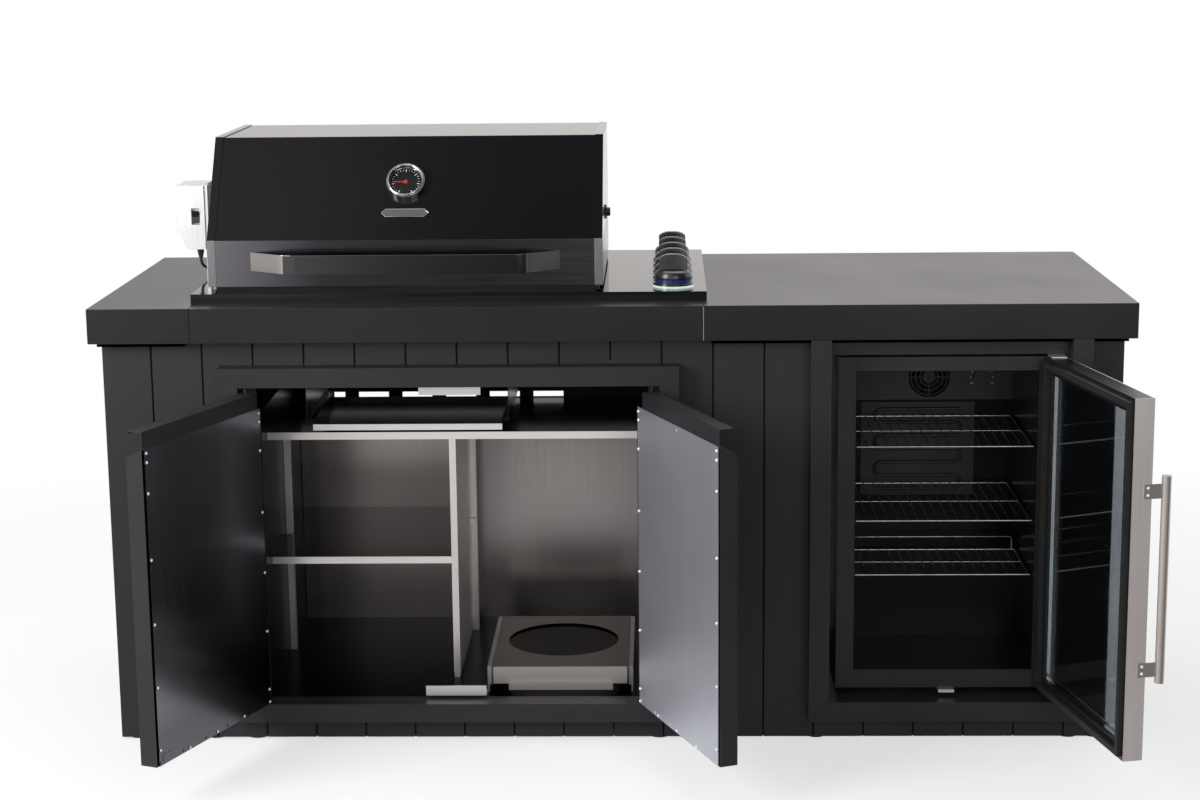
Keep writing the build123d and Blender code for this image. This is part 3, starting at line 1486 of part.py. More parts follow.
# Rotisserie motor: a box on a flat post, with its spindle, gland and rocker switch
motor_y = (at(motor_front_setback), at(motor_back_setback))
gland_y = at(spindle_setback)
post_y = (at(motor_bracket_front_setback), at(motor_bracket_back_setback))
post_x = (motor_high_x + seam_gap, motor_high_x + seam_gap + motor_bracket_thickness)
switch_x = (switch_low_x - switch_gap, switch_high_x + switch_gap)
switch_z = (switch_low_z - switch_gap, switch_high_z + switch_gap)
switch_pivot_y = motor_y[0] + switch_depth / 2
switch_mid_z = (switch_low_z + switch_high_z) / 2
gland_plane = Plane((gland_x, gland_y, motor_low_z), z_dir=(0, 0, -1))
with BuildPart() as motor_housing:
    with BuildSketch(Plane.XZ.offset(-motor_y[0])):
        with BuildLine():
            Polyline(
                (motor_low_x, motor_high_z),
                (motor_low_x, motor_low_z + motor_chamfer_z),
                (motor_low_x + motor_chamfer_x, motor_low_z),
                (motor_high_x, motor_low_z),
                (motor_high_x, motor_high_z),
                close=True,
            )
        make_face()
    extrude(amount=motor_y[0] - motor_y[1])
    block(switch_x, (motor_y[0] - overrun, motor_y[0] + switch_depth), switch_z, mode=Mode.SUBTRACT)
    bar_along(
        (1, 0, 0),
        (switch_low_x - switch_axle_reach - slide_gap, switch_pivot_y, switch_mid_z),
        switch_high_x - switch_low_x + 2 * (switch_axle_reach + slide_gap),
        switch_axle_radius + pin_clearance,
        mode=Mode.SUBTRACT,
    )
    bar_along((1, 0, 0), (motor_high_x, gland_y, spindle_z), spindle_reach, spindle_radius)
    bar_along(
        (1, 0, 0),
        (motor_high_x + spindle_reach - spindle_bore_depth, gland_y, spindle_z),
        spindle_bore_depth + overrun,
        spindle_bore_radius,
        mode=Mode.SUBTRACT,
    )
    block(post_x, post_y, (worktop_top_z, motor_high_z))
    with BuildSketch(gland_plane):
        Circle(gland_radius)
    with BuildSketch(gland_plane.offset(gland_length)):
        Circle(gland_tip_radius)
    loft()
motor_housing.part.label = "motor_housing"
export_step(motor_housing.part, "parts/motor_housing.step")

switch_tilt = radians(switch_angle / 2)
switch_plane = Plane(
    (switch_low_x, switch_pivot_y, switch_mid_z),
    x_dir=(0, cos(switch_tilt), sin(switch_tilt)),
    z_dir=(1, 0, 0),
)
rocker_half_z = (switch_high_z - switch_low_z) / 2 - switch_proud
with BuildPart() as rocker_switch:
    with BuildSketch(switch_plane):
        with BuildLine():
            Polyline(
                (-switch_depth / 2 - switch_proud, rocker_half_z),
                (-switch_depth / 2, 0),
                (-switch_depth / 2 - switch_proud, -rocker_half_z),
                (0, -rocker_half_z / 2),
                (0, rocker_half_z / 2),
                close=True,
            )
        make_face()
    extrude(amount=switch_high_x - switch_low_x)
    axle_x = switch_low_x - switch_axle_reach
    axle_length = switch_high_x - switch_low_x + 2 * switch_axle_reach
    bar_along((1, 0, 0), (axle_x, switch_pivot_y, switch_mid_z), axle_length, switch_axle_radius)
rocker_switch.part.label = "rocker_switch"
export_step(rocker_switch.part, "parts/rocker_switch.step")

# Mains lead: its route from the gland, round the back of the hood, to the coil
lead_z = deck_z + lead_radius + seam_gap
coil_y = at(coil_centre_setback)
coil_start = (coil_centre_x, coil_y + coil_outer_radius)
lead_route = [
    (-890.0, -2.5, 987.0),
    (-890.0, -2.5, 977.0),
    (-886.0, 4.0, 967.0),
    (-876.0, 19.0, 960.5),
    (-862.0, 45.0, 955.5),
    (-853.0, 80.0, 952.2),
    (-849.0, 122.0, 951.4),
    (-846.5, 172.0, 951.3),
    (-846.0, 222.0, 951.3),
    (-844.5, 272.0, 951.3),
    (-838.0, 312.0, 951.3),
    (-822.0, 338.0, 951.3),
    (-796.0, 348.0, 951.3),
    (-772.0, 349.0, 951.3),
    (-751.0, 349.0, 951.3),
]
tail_route = [
    (-739.0, 342.3, 957.9),
    (-719.0, 342.3, 957.9),
    (-696.0, 341.0, 955.0),
    (-672.0, 338.5, 953.8),
    (-650.0, 337.0, 956.3),
    (-632.0, 337.0, 956.3),
]


def corner_radii(points):
    """The radius of each corner's arc, as large as its shorter run allows."""
    radii = []
    for before, here, after in zip(points, points[1:], points[2:]):
        first = Vector(*here) - Vector(*before)
        second = Vector(*after) - Vector(*here)
        turn = radians(first.get_angle(second))
        radii.append(run_share * min(first.length, second.length) / tan(turn / 2))
    return radii


with BuildPart() as motor_cord:
    for name, route in (("lead", lead_route), ("tail", tail_route)):
        radii = corner_radii(route)
        with BuildLine() as path:
            FilletPolyline(*route, radius=radii)
        run = Vector(*route[1]) - Vector(*route[0])
        with BuildSketch(Plane(route[0], z_dir=run)):
            Circle(lead_radius)
        sweep(path=path.wires()[0])
        print(name, "length", round(path.wires()[0].length, 1), "radii", [round(r, 1) for r in radii])
        print(name, "section times length", round(pi * lead_radius**2 * path.wires()[0].length, 1))
print("motor_cord volume", round(motor_cord.part.volume, 1))
motor_cord.part.label = "motor_cord"
export_step(motor_cord.part, "parts/motor_cord.step")

# Coil: spirals in on the deck, climbs in the half turn where it reverses, and spirals
# out again on top. Its arcs meet on the line through its middle along Y.
half_step = coil_pitch / 2
radii_in = [coil_outer_radius - k * half_step for k in range(coil_half_turns_in)]
radii_out = [radii_in[-1] + (k + 1) * half_step for k in range(coil_half_turns_out)]
upper_z = lead_z + coil_layer_step
with BuildPart() as cord_coil:
    with BuildLine() as coil_path:
        place = Vector(coil_start[0], coil_start[1], lead_z)
        straight = Vector(2 * lead_radius, 0, 0)
        Line(place - straight, place)
        side = 1
        for index, radius in enumerate(radii_in + radii_out):
            end_z = lead_z if index < coil_half_turns_in - 1 else upper_z
            end = Vector(place.X, place.Y - side * 2 * radius, end_z)
            middle = (place + end) / 2 + Vector(side * (end - place).length / 2, 0, 0)
            ThreePointArc(place, middle, end)
            place = end
            side = -side
        Line(place, place + straight)
    with BuildSketch(Plane(coil_path.wires()[0] @ 0, z_dir=(1, 0, 0))):
        Circle(lead_radius)
    sweep(path=coil_path.wires()[0])
coil_length = coil_path.wires()[0].length
samples = [coil_path.wires()[0] @ (k / 600) for k in range(601)]
sample_step = coil_length / 600
apart = ceil(4 * lead_radius / sample_step)
nearest = min((a - b).length for k, a in enumerate(samples) for b in samples[k + apart :])
print("coil length", round(coil_length, 1), "least gap to itself", round(nearest - 2 * lead_radius, 2))
print("coil volume", round(cord_coil.part.volume, 1), "expected", round(pi * lead_radius**2 * coil_length, 1))
print("coil end", place)
cord_coil.part.label = "cord_coil"
export_step(cord_coil.part, "parts/cord_coil.step")

plug_entry = Vector(*tail_route[-1])
with BuildPart() as mains_plug:
    block(
        (plug_entry.X, plug_entry.X + plug_length),
        (plug_entry.Y - plug_width / 2, plug_entry.Y + plug_width / 2),
        (plug_entry.Z - plug_height / 2, plug_entry.Z + plug_height / 2),
    )
    fillet(mains_plug.edges().filter_by(Axis.X), plug_height / 4)
    for offset_y, turn in ((-plug_pin_spread, 1), (plug_pin_spread, 1), (0, 0)):
        half_y = (plug_pin_thickness if turn else plug_pin_width) / 2
        half_z = (plug_pin_width if turn else plug_pin_thickness) / 2
        block(
            (plug_entry.X + plug_length, plug_entry.X + plug_length + plug_pin_length),
            (plug_entry.Y + offset_y - half_y, plug_entry.Y + offset_y + half_y),
            (plug_entry.Z - half_z, plug_entry.Z + half_z),
        )
mains_plug.part.label = "mains_plug"
export_step(mains_plug.part, "parts/mains_plug.step")

# Fridge: insulated walls, a compressor space behind a step, and a thin liner
fridge_y = (at(fridge_front_setback), at(fridge_back_setback))
wall_left_x = (fridge_low_x, liner_low_x - liner_sheet - pin_clearance)
wall_right_x = (liner_high_x + liner_sheet + pin_clearance, fridge_high_x)
between_x = (wall_left_x[1] + seam_gap, wall_right_x[0] - seam_gap)
liner_back_y = at(liner_back_setback)
liner_clear = liner_sheet + pin_clearance
hump_y = at(hump_setback)
with BuildPart() as fridge_cabinet:
    block(wall_left_x, fridge_y, (fridge_low_z, fridge_high_z))
    block(wall_right_x, fridge_y, (fridge_low_z, fridge_high_z))
    block(between_x, fridge_y, (liner_high_z + liner_clear, fridge_high_z))
    block(between_x, fridge_y, (fridge_low_z, liner_low_z - liner_clear))
    block(
        between_x,
        (liner_back_y + liner_clear, fridge_y[1]),
        (hump_z - hump_wall, liner_high_z + liner_clear - seam_gap),
    )
    block(
        between_x,
        (hump_y + liner_clear, hump_y + hump_wall),
        (liner_low_z - liner_clear + seam_gap, hump_z - liner_clear),
    )
    block(
        between_x,
        (hump_y + hump_wall + seam_gap, liner_back_y + liner_clear - seam_gap),
        (hump_z - hump_wall, hump_z - liner_clear),
    )
    for x in (wall_left_x[0] + 2 * fridge_foot_radius, wall_right_x[1] - 2 * fridge_foot_radius):
        for y in (fridge_y[0] + 4 * fridge_foot_radius, fridge_y[1] - 2 * fridge_foot_radius):
            post((x, y), fridge_foot_radius, (fridge_opening_low_z, fridge_low_z - pin_clearance))
fridge_cabinet.part.label = "fridge_cabinet"
export_step(fridge_cabinet.part, "parts/fridge_cabinet.step")


shelf_specs = (
    ("fridge_shelf_top", top_shelf_z, top_shelf_front_setback, top_shelf_back_setback),
    ("fridge_shelf_middle", middle_wire_z, middle_wire_front_setback, middle_wire_back_setback),
    ("fridge_shelf_low", low_shelf_z, low_shelf_front_setback, low_shelf_back_setback),
)
liner_x = (liner_low_x + seam_gap, liner_high_x - seam_gap)
liner_front_y = fridge_y[0]
liner_profile = (
    (liner_front_y, liner_low_z - liner_sheet),
    (hump_y + liner_sheet, liner_low_z - liner_sheet),
    (hump_y + liner_sheet, hump_z - liner_sheet),
    (liner_back_y + liner_sheet, hump_z - liner_sheet),
    (liner_back_y + liner_sheet, liner_high_z + liner_sheet),
    (liner_front_y, liner_high_z + liner_sheet),
)
with BuildPart() as fridge_liner:
    for plate_x in (liner_low_x - liner_sheet, liner_high_x):
        with BuildSketch(Plane((plate_x, 0, 0), x_dir=(0, 1, 0), z_dir=(1, 0, 0))):
            with BuildLine():
                Polyline(*liner_profile, close=True)
            make_face()
        extrude(amount=liner_sheet)
    block(liner_x, (liner_front_y, liner_back_y + liner_sheet), (liner_high_z, liner_high_z + liner_sheet))
    block(liner_x, (liner_front_y, hump_y + liner_sheet), (liner_low_z - liner_sheet, liner_low_z))
    block(liner_x, (hump_y, hump_y + liner_sheet), (liner_low_z + seam_gap, hump_z - seam_gap))
    block(
        liner_x,
        (hump_y + liner_sheet + seam_gap, liner_back_y + liner_sheet),
        (hump_z - liner_sheet, hump_z),
    )
    block(liner_x, (liner_back_y, liner_back_y + liner_sheet), (hump_z + seam_gap, liner_high_z - seam_gap))
    for name, shelf_z, front_setback, back_setback in shelf_specs:
        rail_high_z = shelf_z - wire_radius - slide_gap
        rail_z = (rail_high_z - shelf_rail_height, rail_high_z)
        rail_y = (at(front_setback), at(back_setback))
        block((liner_x[0], liner_x[0] + shelf_rail_width), rail_y, rail_z)
        block((liner_x[1] - shelf_rail_width, liner_x[1]), rail_y, rail_z)
fridge_liner.part.label = "fridge_liner"
export_step(fridge_liner.part, "parts/fridge_liner.step")

# Cooling parts: fan housing with its grille and motor, evaporator, and compressor
fan_front_y = at(fan_box_setback)
fan_plane = Plane((fan_x, fan_front_y, fan_z), x_dir=(1, 0, 0), z_dir=(0, -1, 0))
housing_x = (liner_low_x + seam_gap, liner_high_x - seam_gap)
housing_z = (fan_box_low_z, liner_high_z - seam_gap)
fan_back_y = fan_front_y + liner_sheet + grille_wire + fan_hub_length
with BuildPart() as fridge_cooling:
    with BuildSketch(fan_plane):
        with Locations(
            ((housing_x[0] + housing_x[1]) / 2 - fan_x, (housing_z[0] + housing_z[1]) / 2 - fan_z),
        ):
            Rectangle(housing_x[1] - housing_x[0], housing_z[1] - housing_z[0])
        Circle(fan_opening_radius, mode=Mode.SUBTRACT)
        for k in range(grille_ring_count, 0, -1):
            Circle(k * grille_ring_pitch + grille_wire / 2)
            Circle(k * grille_ring_pitch - grille_wire / 2, mode=Mode.SUBTRACT)
        Rectangle(2 * fan_opening_radius, grille_wire)
        Rectangle(grille_wire, 2 * fan_opening_radius)
        with Locations((thermostat_x - fan_x, thermostat_z - fan_z)):
            Circle(thermostat_stem_radius + pin_clearance, mode=Mode.SUBTRACT)
    extrude(amount=-liner_sheet)
    block(
        housing_x,
        (fan_front_y + liner_sheet + seam_gap, liner_back_y - seam_gap),
        (housing_z[0], housing_z[0] + liner_sheet),
    )
    bar_along(
        (0, 1, 0),
        (fan_x, fan_back_y + slide_gap, fan_z),
        liner_back_y - fan_back_y - 2 * slide_gap,
        fan_hub_radius,
    )
    bar_along(
        (0, 1, 0),
        (fan_x, fan_back_y + slide_gap - overrun, fan_z),
        overrun + fan_hub_length / 2,
        fan_axle_radius + pin_clearance,
        mode=Mode.SUBTRACT,
    )
    plate_y = (liner_back_y - seam_gap - evaporator_plate, liner_back_y - seam_gap)
    block((evaporator_low_x, evaporator_high_x), plate_y, (evaporator_low_z, evaporator_high_z))
    tube_pitch = (evaporator_high_z - evaporator_low_z) / evaporator_tube_count
    tube_y = plate_y[0] - evaporator_tube_radius + evaporator_plate / 2
    tube_turns = []
    for k in range(evaporator_tube_count):
        level = evaporator_low_z + (k + 1 / 2) * tube_pitch
        ends = [evaporator_low_x + tube_pitch, evaporator_high_x - tube_pitch]
        tube_turns += [(x, tube_y, level) for x in (ends if k % 2 == 0 else ends[::-1])]
    with BuildLine() as tube_path:
        FilletPolyline(*tube_turns, radius=tube_pitch / 2 - evaporator_tube_radius / 2)
    with BuildSketch(Plane(tube_turns[0], z_dir=(1, 0, 0))):
        Circle(evaporator_tube_radius)
    sweep(path=tube_path.wires()[0])
with BuildPart() as compressor:
    compressor_y = (hump_y + hump_wall + fridge_y[1]) / 2
    compressor_z = (liner_low_z - liner_clear + seam_gap, liner_low_z + compressor_height)
    post((compressor_x, compressor_y), compressor_radius, compressor_z)
    fillet(compressor.edges().sort_by(Axis.Z)[-1], compressor_radius / 3)
with BuildPart() as cooling_parts:
    add(fridge_cooling.part)
    add(compressor.part)
cooling_parts.part.label = "fridge_cooling"
export_step(cooling_parts.part, "parts/fridge_cooling.step")

blade_length = fan_blade_radius - fan_hub_radius + fan_blade_thickness
with BuildPart(Plane((fan_x, fan_back_y, fan_z), z_dir=(0, -1, 0))) as fridge_fan:
    align = (Align.CENTER, Align.CENTER, Align.MIN)
    Cylinder(fan_hub_radius, fan_hub_length, align=align)
    with Locations((0, 0, -fan_hub_length / 2 + slide_gap)):
        Cylinder(fan_axle_radius, fan_hub_length, align=align)
    with Locations(Plane((0, 0, fan_hub_length / 2))):
        with PolarLocations(fan_hub_radius + blade_length / 2 - fan_blade_thickness, fan_blade_count):
            Box(blade_length, fan_blade_width, fan_blade_thickness, rotation=(fan_blade_pitch, 0, 0))
fridge_fan.part.label = "fridge_fan"
export_step(fridge_fan.part, "parts/fridge_fan.step")

dial_plane = Plane((thermostat_x, fan_front_y - slide_gap, thermostat_z), z_dir=(0, -1, 0))
with BuildPart(dial_plane) as thermostat_dial:
    Cylinder(thermostat_radius, thermostat_height, align=(Align.CENTER, Align.CENTER, Align.MIN))
    with Locations((0, 0, -liner_sheet - fan_hub_length / 2)):
        Cylinder(
            thermostat_stem_radius,
            liner_sheet + fan_hub_length / 2,
            align=(Align.CENTER, Align.CENTER, Align.MIN),
        )
    with Locations((0, thermostat_radius / 2, thermostat_height)):
        Box(thermostat_groove, thermostat_radius + overrun, thermostat_groove, mode=Mode.SUBTRACT)
thermostat_dial.part.label = "thermostat_dial"
export_step(thermostat_dial.part, "parts/thermostat_dial.step")

# Wire shelves: a rim of thick wire, and thin rods from front to back
wire_x = (liner_low_x + shelf_side_gap + wire_radius, liner_high_x - shelf_side_gap - wire_radius)
for name, shelf_z, front_setback, back_setback in shelf_specs:
    wire_y = (at(front_setback) + wire_radius, at(back_setback) - wire_radius)
    with BuildPart() as shelf:
        for y in wire_y:
            bar_along(
                (1, 0, 0),
                (wire_x[0] - wire_radius, y, shelf_z),
                wire_x[1] - wire_x[0] + 2 * wire_radius,
                wire_radius,
            )
        for x in wire_x:
            bar_along((0, 1, 0), (x, wire_y[0], shelf_z), wire_y[1] - wire_y[0], wire_radius)
        bar_along(
            (1, 0, 0),
            (wire_x[0], (wire_y[0] + wire_y[1]) / 2, shelf_z),
            wire_x[1] - wire_x[0],
            rod_radius,
        )
        rod_count = int((wire_x[1] - wire_x[0]) / rod_pitch)
        rod_step = (wire_x[1] - wire_x[0]) / rod_count
        for k in range(1, rod_count):
            bar_along(
                (0, 1, 0),
                (wire_x[0] + k * rod_step, wire_y[0], shelf_z),
                wire_y[1] - wire_y[0],
                rod_radius,
            )
    shelf.part.label = name
    export_step(shelf.part, f"parts/{name}.step")

# Fridge door. In its own frame x runs from the pin to the free edge and y runs
# outwards. It stands open at rest.
fridge_pin_y = at(fridge_pin_setback)
fridge_turn = radians(fridge_door_open_angle)
fridge_door_plane = Plane(
    (fridge_pin_x, fridge_pin_y, 0),
    x_dir=(-cos(fridge_turn), -sin(fridge_turn), 0),
    z_dir=(0, 0, 1),
)
door_x = (-fridge_door_hinge_edge, fridge_door_width - fridge_door_hinge_edge)
door_y = (-fridge_door_back, fridge_door_front)
door_z = (fridge_door_low_z, fridge_door_high_z)
stile_x = (door_x[0] + fridge_door_border, door_x[1] - fridge_door_border)
rail_z = (door_z[0] + fridge_door_border, door_z[1] - fridge_door_border)
with BuildPart(fridge_door_plane) as fridge_door_frame:
    block((door_x[0], stile_x[0]), door_y, door_z)
    block((stile_x[1], door_x[1]), door_y, door_z)
    for span in ((door_z[0], rail_z[0]), (rail_z[1], door_z[1])):
        block((stile_x[0] + seam_gap, stile_x[1] - seam_gap), door_y, span)
    pin_bore = fridge_pin_radius + pin_clearance
    post(
        (0, 0),
        pin_bore,
        (door_z[0] - overrun, door_z[0] + fridge_pin_reach + slide_gap),
        mode=Mode.SUBTRACT,
    )
    post(
        (0, 0),
        pin_bore,
        (door_z[1] - fridge_pin_reach - slide_gap, door_z[1] + overrun),
        mode=Mode.SUBTRACT,
    )
fridge_door_frame.part.label = "fridge_door_frame"
export_step(fridge_door_frame.part, "parts/fridge_door_frame.step")

with BuildPart(fridge_door_plane) as fridge_door_glass:
    block(
        (stile_x[0] + seam_gap, stile_x[1] - seam_gap),
        (-glass_thickness / 2, glass_thickness / 2),
        (rail_z[0] + seam_gap, rail_z[1] - seam_gap),
    )
fridge_door_glass.part.label = "fridge_door_glass"
export_step(fridge_door_glass.part, "parts/fridge_door_glass.step")

seal_x = (door_x[0] + gasket_inset, door_x[1] - gasket_inset)
seal_y = (door_y[0] - gasket_depth, door_y[0] - seam_gap)
seal_z = (door_z[0] + gasket_inset, door_z[1] - gasket_inset)
with BuildPart(fridge_door_plane) as fridge_gasket:
    for span in ((seal_x[0], seal_x[0] + gasket_width), (seal_x[1] - gasket_width, seal_x[1])):
        block(span, seal_y, seal_z)
    for span in ((seal_z[0], seal_z[0] + gasket_width), (seal_z[1] - gasket_width, seal_z[1])):
        block((seal_x[0] + gasket_width + seam_gap, seal_x[1] - gasket_width - seam_gap), seal_y, span)
fridge_gasket.part.label = "fridge_gasket"
export_step(fridge_gasket.part, "parts/fridge_gasket.step")

tab_x = (door_x[1] + seam_gap, door_x[1] + seam_gap + pull_tab_thickness)
pull_y = door_y[1] + pull_stand_off
with BuildPart(fridge_door_plane) as fridge_handle:
    post(((tab_x[0] + tab_x[1]) / 2, pull_y), pull_radius, (pull_low_z, pull_high_z))
    for centre_z in pull_tab_z:
        block(
            tab_x,
            (pull_tab_root, pull_y),
            (centre_z - pull_tab_height / 2, centre_z + pull_tab_height / 2),
        )
fridge_handle.part.label = "fridge_handle"
export_step(fridge_handle.part, "parts/fridge_handle.step")

# Hinge brackets of the fridge door, and the catch plate below its cabinet
bracket_x = (bracket_low_x, bracket_high_x)
bracket_y = (at(bracket_front_setback), at(bracket_back_setback))
upper_plate_z = (fridge_door_high_z + slide_gap, fridge_door_high_z + slide_gap + bracket_plate)
lower_plate_z = (fridge_low_z - seam_gap - bracket_plate, fridge_low_z - seam_gap)
pin_centre = (fridge_pin_x, fridge_pin_y)
with BuildPart() as fridge_hinge_brackets:
    block(bracket_x, bracket_y, upper_plate_z)
    block(bracket_x, bracket_y, lower_plate_z)
    for z_span in (
        (fridge_door_high_z - fridge_pin_reach, upper_plate_z[1]),
        (lower_plate_z[0], fridge_door_low_z + fridge_pin_reach),
    ):
        post(pin_centre, fridge_pin_radius + pin_clearance, z_span, mode=Mode.SUBTRACT)
        post(pin_centre, fridge_pin_radius, z_span)
    block(
        (bracket_x[0], fridge_high_x),
        (fridge_y[0] + seam_gap, bracket_y[1]),
        (fridge_high_z, upper_plate_z[0] - pin_clearance),
    )
    block(
        (lock_low_x, lock_high_x),
        (at(lock_front_setback), at(lock_back_setback)),
        (lower_plate_z[1] - lock_thickness, lower_plate_z[1]),
    )
fridge_hinge_brackets.part.label = "fridge_hinge_brackets"
export_step(fridge_hinge_brackets.part, "parts/fridge_hinge_brackets.step")
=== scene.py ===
# %% [markdown]
# # An outdoor kitchen in steel and powder coat
# The solids of the object come in ready made, already in their places. This lesson gives
# each of them the finish of the real metal, plastic or glass, and adds the fine pieces
# that the solids don't carry: soft edges, marks, screws and the mains lead.

# %% Load the solids
import bpy
from math import cos, pi, radians, sin
from mathutils import Matrix, Vector
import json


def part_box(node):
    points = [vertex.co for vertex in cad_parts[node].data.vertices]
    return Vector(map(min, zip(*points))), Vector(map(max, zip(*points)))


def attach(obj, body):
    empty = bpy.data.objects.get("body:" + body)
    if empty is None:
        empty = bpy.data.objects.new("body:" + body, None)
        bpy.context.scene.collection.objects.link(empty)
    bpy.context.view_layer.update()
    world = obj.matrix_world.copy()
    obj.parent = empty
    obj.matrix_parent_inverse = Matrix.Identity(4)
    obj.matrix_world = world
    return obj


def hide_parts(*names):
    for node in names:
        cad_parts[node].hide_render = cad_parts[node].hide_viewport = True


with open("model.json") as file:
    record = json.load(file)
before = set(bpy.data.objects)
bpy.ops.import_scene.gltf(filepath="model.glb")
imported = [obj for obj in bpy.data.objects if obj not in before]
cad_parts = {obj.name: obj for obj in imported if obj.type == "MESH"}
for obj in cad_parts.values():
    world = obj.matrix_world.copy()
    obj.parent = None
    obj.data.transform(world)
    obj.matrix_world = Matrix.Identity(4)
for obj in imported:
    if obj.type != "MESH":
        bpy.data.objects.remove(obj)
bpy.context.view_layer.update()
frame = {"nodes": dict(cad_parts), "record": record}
nodes = frame["nodes"]

# %% [markdown]
# ## The view
# The photographer stood about five metres away with a long lens, a little above the
# hood, and tipped the camera down. The camera's axes are worked out from its turn, tip
# and lean, because that places it exactly.


# %% New objects and turned axes
def linked(name, data):
    """Makes an object of some data and puts it into the scene."""
    thing = bpy.data.objects.new(name, data)
    bpy.context.scene.collection.objects.link(thing)
    return thing


def axes_of(x_way, y_way, z_way):
    """A matrix whose three axes point along the given ways."""
    return Matrix((x_way, y_way, z_way)).transposed().to_4x4()


# %% Camera
turn, tip, lean = radians(-1.55624), radians(11.33818), radians(-0.59520)
forward = Vector((sin(turn) * cos(tip), cos(turn) * cos(tip), -sin(tip)))
level_right = Vector((cos(turn), -sin(turn), 0))
level_up = level_right.cross(forward)
view_right = cos(lean) * level_right + sin(lean) * level_up
view_up = -sin(lean) * level_right + cos(lean) * level_up
camera_place = (0.10523, -4.99104, 1.66844)
focal_pixels, frame_pixels = 2335.12, 1200
lens = bpy.data.cameras.new("photo_view")
lens.sensor_width = 36
lens.lens = lens.sensor_width * focal_pixels / frame_pixels
lens.clip_end = 100
camera = linked("photo_view", lens)
view_axes = axes_of(view_right, view_up, -forward)
camera.matrix_world = Matrix.Translation(camera_place) @ view_axes
bpy.context.scene.camera = camera
bpy.context.scene.view_settings.view_transform = "Standard"
print("lens", round(lens.lens, 2), "mm")

# %% [markdown]
# ## Shader maths as plain sums
# A finish is a graph of nodes. Wrapping a socket in a small class lets the maths be
# written as sums, and one method makes every other kind of node.


# %% Sockets that add and multiply
class Amount:
    def __init__(self, tree, socket):
        self.tree, self.socket = tree, socket

    def maths(self, operation, *values):
        node = self.tree.nodes.new("ShaderNodeMath")
        node.operation = operation
        for place, value in zip(node.inputs, values):
            if isinstance(value, Amount):
                self.tree.links.new(value.socket, place)
            else:
                place.default_value = value
        return Amount(self.tree, node.outputs[0])

    def __add__(self, other):
        return self.maths("ADD", self, other)

    def __radd__(self, other):
        return self.maths("ADD", other, self)

    def __sub__(self, other):
        return self.maths("SUBTRACT", self, other)

    def __rsub__(self, other):
        return self.maths("SUBTRACT", other, self)

    def __mul__(self, other):
        return self.maths("MULTIPLY", self, other)

    def __rmul__(self, other):
        return self.maths("MULTIPLY", other, self)

    def __lt__(self, other):
        return self.maths("LESS_THAN", self, other)

    def __gt__(self, other):
        return self.maths("GREATER_THAN", self, other)


# %% A graph of nodes
class Graph:
    def __init__(self, tree):
        self.tree = tree

    def node(self, kind, settings, values, out=0):
        node = self.tree.nodes.new("ShaderNode" + kind)
        for words, value in settings.items():
            setattr(node, words, value)
        for words, value in values.items():
            place = node.inputs[words]
            if isinstance(value, Amount):
                self.tree.links.new(value.socket, place)
            else:
                place.default_value = value
        return None if out is None else Amount(self.tree, node.outputs[out])

    def between(self, factor, low, high):
        values = {0: factor, 6: low if isinstance(low, Amount) else (*low, 1.0)}
        values[7] = high if isinstance(high, Amount) else (*high, 1.0)
        return self.node("Mix", {"data_type": "RGBA"}, values, 2)


# %% A finish
class Finish(Graph):
    def __init__(self, name, **constants):
        self.material = bpy.data.materials.new(name)
        self.material.use_nodes = True
        super().__init__(self.material.node_tree)
        self.shader = self.tree.nodes["Principled BSDF"]
        for words, value in constants.items():
            self.feed(words.replace("_", " "), value)

    def feed(self, words, value):
        place = self.shader.inputs[words]
        if isinstance(value, Amount):
            self.tree.links.new(value.socket, place)
        elif isinstance(value, tuple):
            place.default_value = (*value, 1.0)
        else:
            place.default_value = value

    def place(self):
        return self.node("TexCoord", {}, {}, "Object")

    def grain(self, scale, size=1.0, detail=3.0, shift=(0, 0, 0)):
        spot = self.node("Mapping", {}, {"Vector": self.place(), "Location": shift, "Scale": scale})
        return self.node("TexNoise", {}, {"Vector": spot, "Scale": size, "Detail": detail})

    def axis(self, letter):
        return self.node("SeparateXYZ", {}, {0: self.place()}, letter)

    def bumps(self, height, strength, distance):
        values = {"Height": height, "Strength": strength, "Distance": distance}
        self.feed("Normal", self.node("Bump", {}, values))


print("shader helpers ready")

# %% [markdown]
# ## The mains lead
# The rotisserie motor has a thin rubber lead. It drops out of the gland, runs behind
# the hood along the deck and ends in a neat coil with its plug beside it. It is one
# smooth curve whose control points lie on the deck, because a lead bends everywhere a
# little and nowhere sharply.

# %% Lead: the run to the coil
lead_radius = 0.003
lead_run = [
    (-0.8900, -0.0025, 0.9870),
    (-0.8900, -0.0025, 0.9770),
    (-0.8860, 0.0040, 0.9670),
    (-0.8760, 0.0190, 0.9605),
    (-0.8620, 0.0450, 0.9555),
    (-0.8530, 0.0800, 0.9522),
    (-0.8490, 0.1220, 0.9514),
    (-0.8465, 0.1720, 0.9513),
    (-0.8460, 0.2220, 0.9513),
    (-0.8445, 0.2720, 0.9513),
    (-0.8380, 0.3120, 0.9513),
    (-0.8220, 0.3380, 0.9513),
    (-0.7960, 0.3480, 0.9513),
    (-0.7720, 0.3490, 0.9513),
]
tail_run = [
    (-0.7190, 0.3423, 0.9579),
    (-0.6960, 0.3410, 0.9550),
    (-0.6720, 0.3385, 0.9538),
    (-0.6500, 0.3370, 0.9563),
    (-0.6320, 0.3370, 0.9563),
]

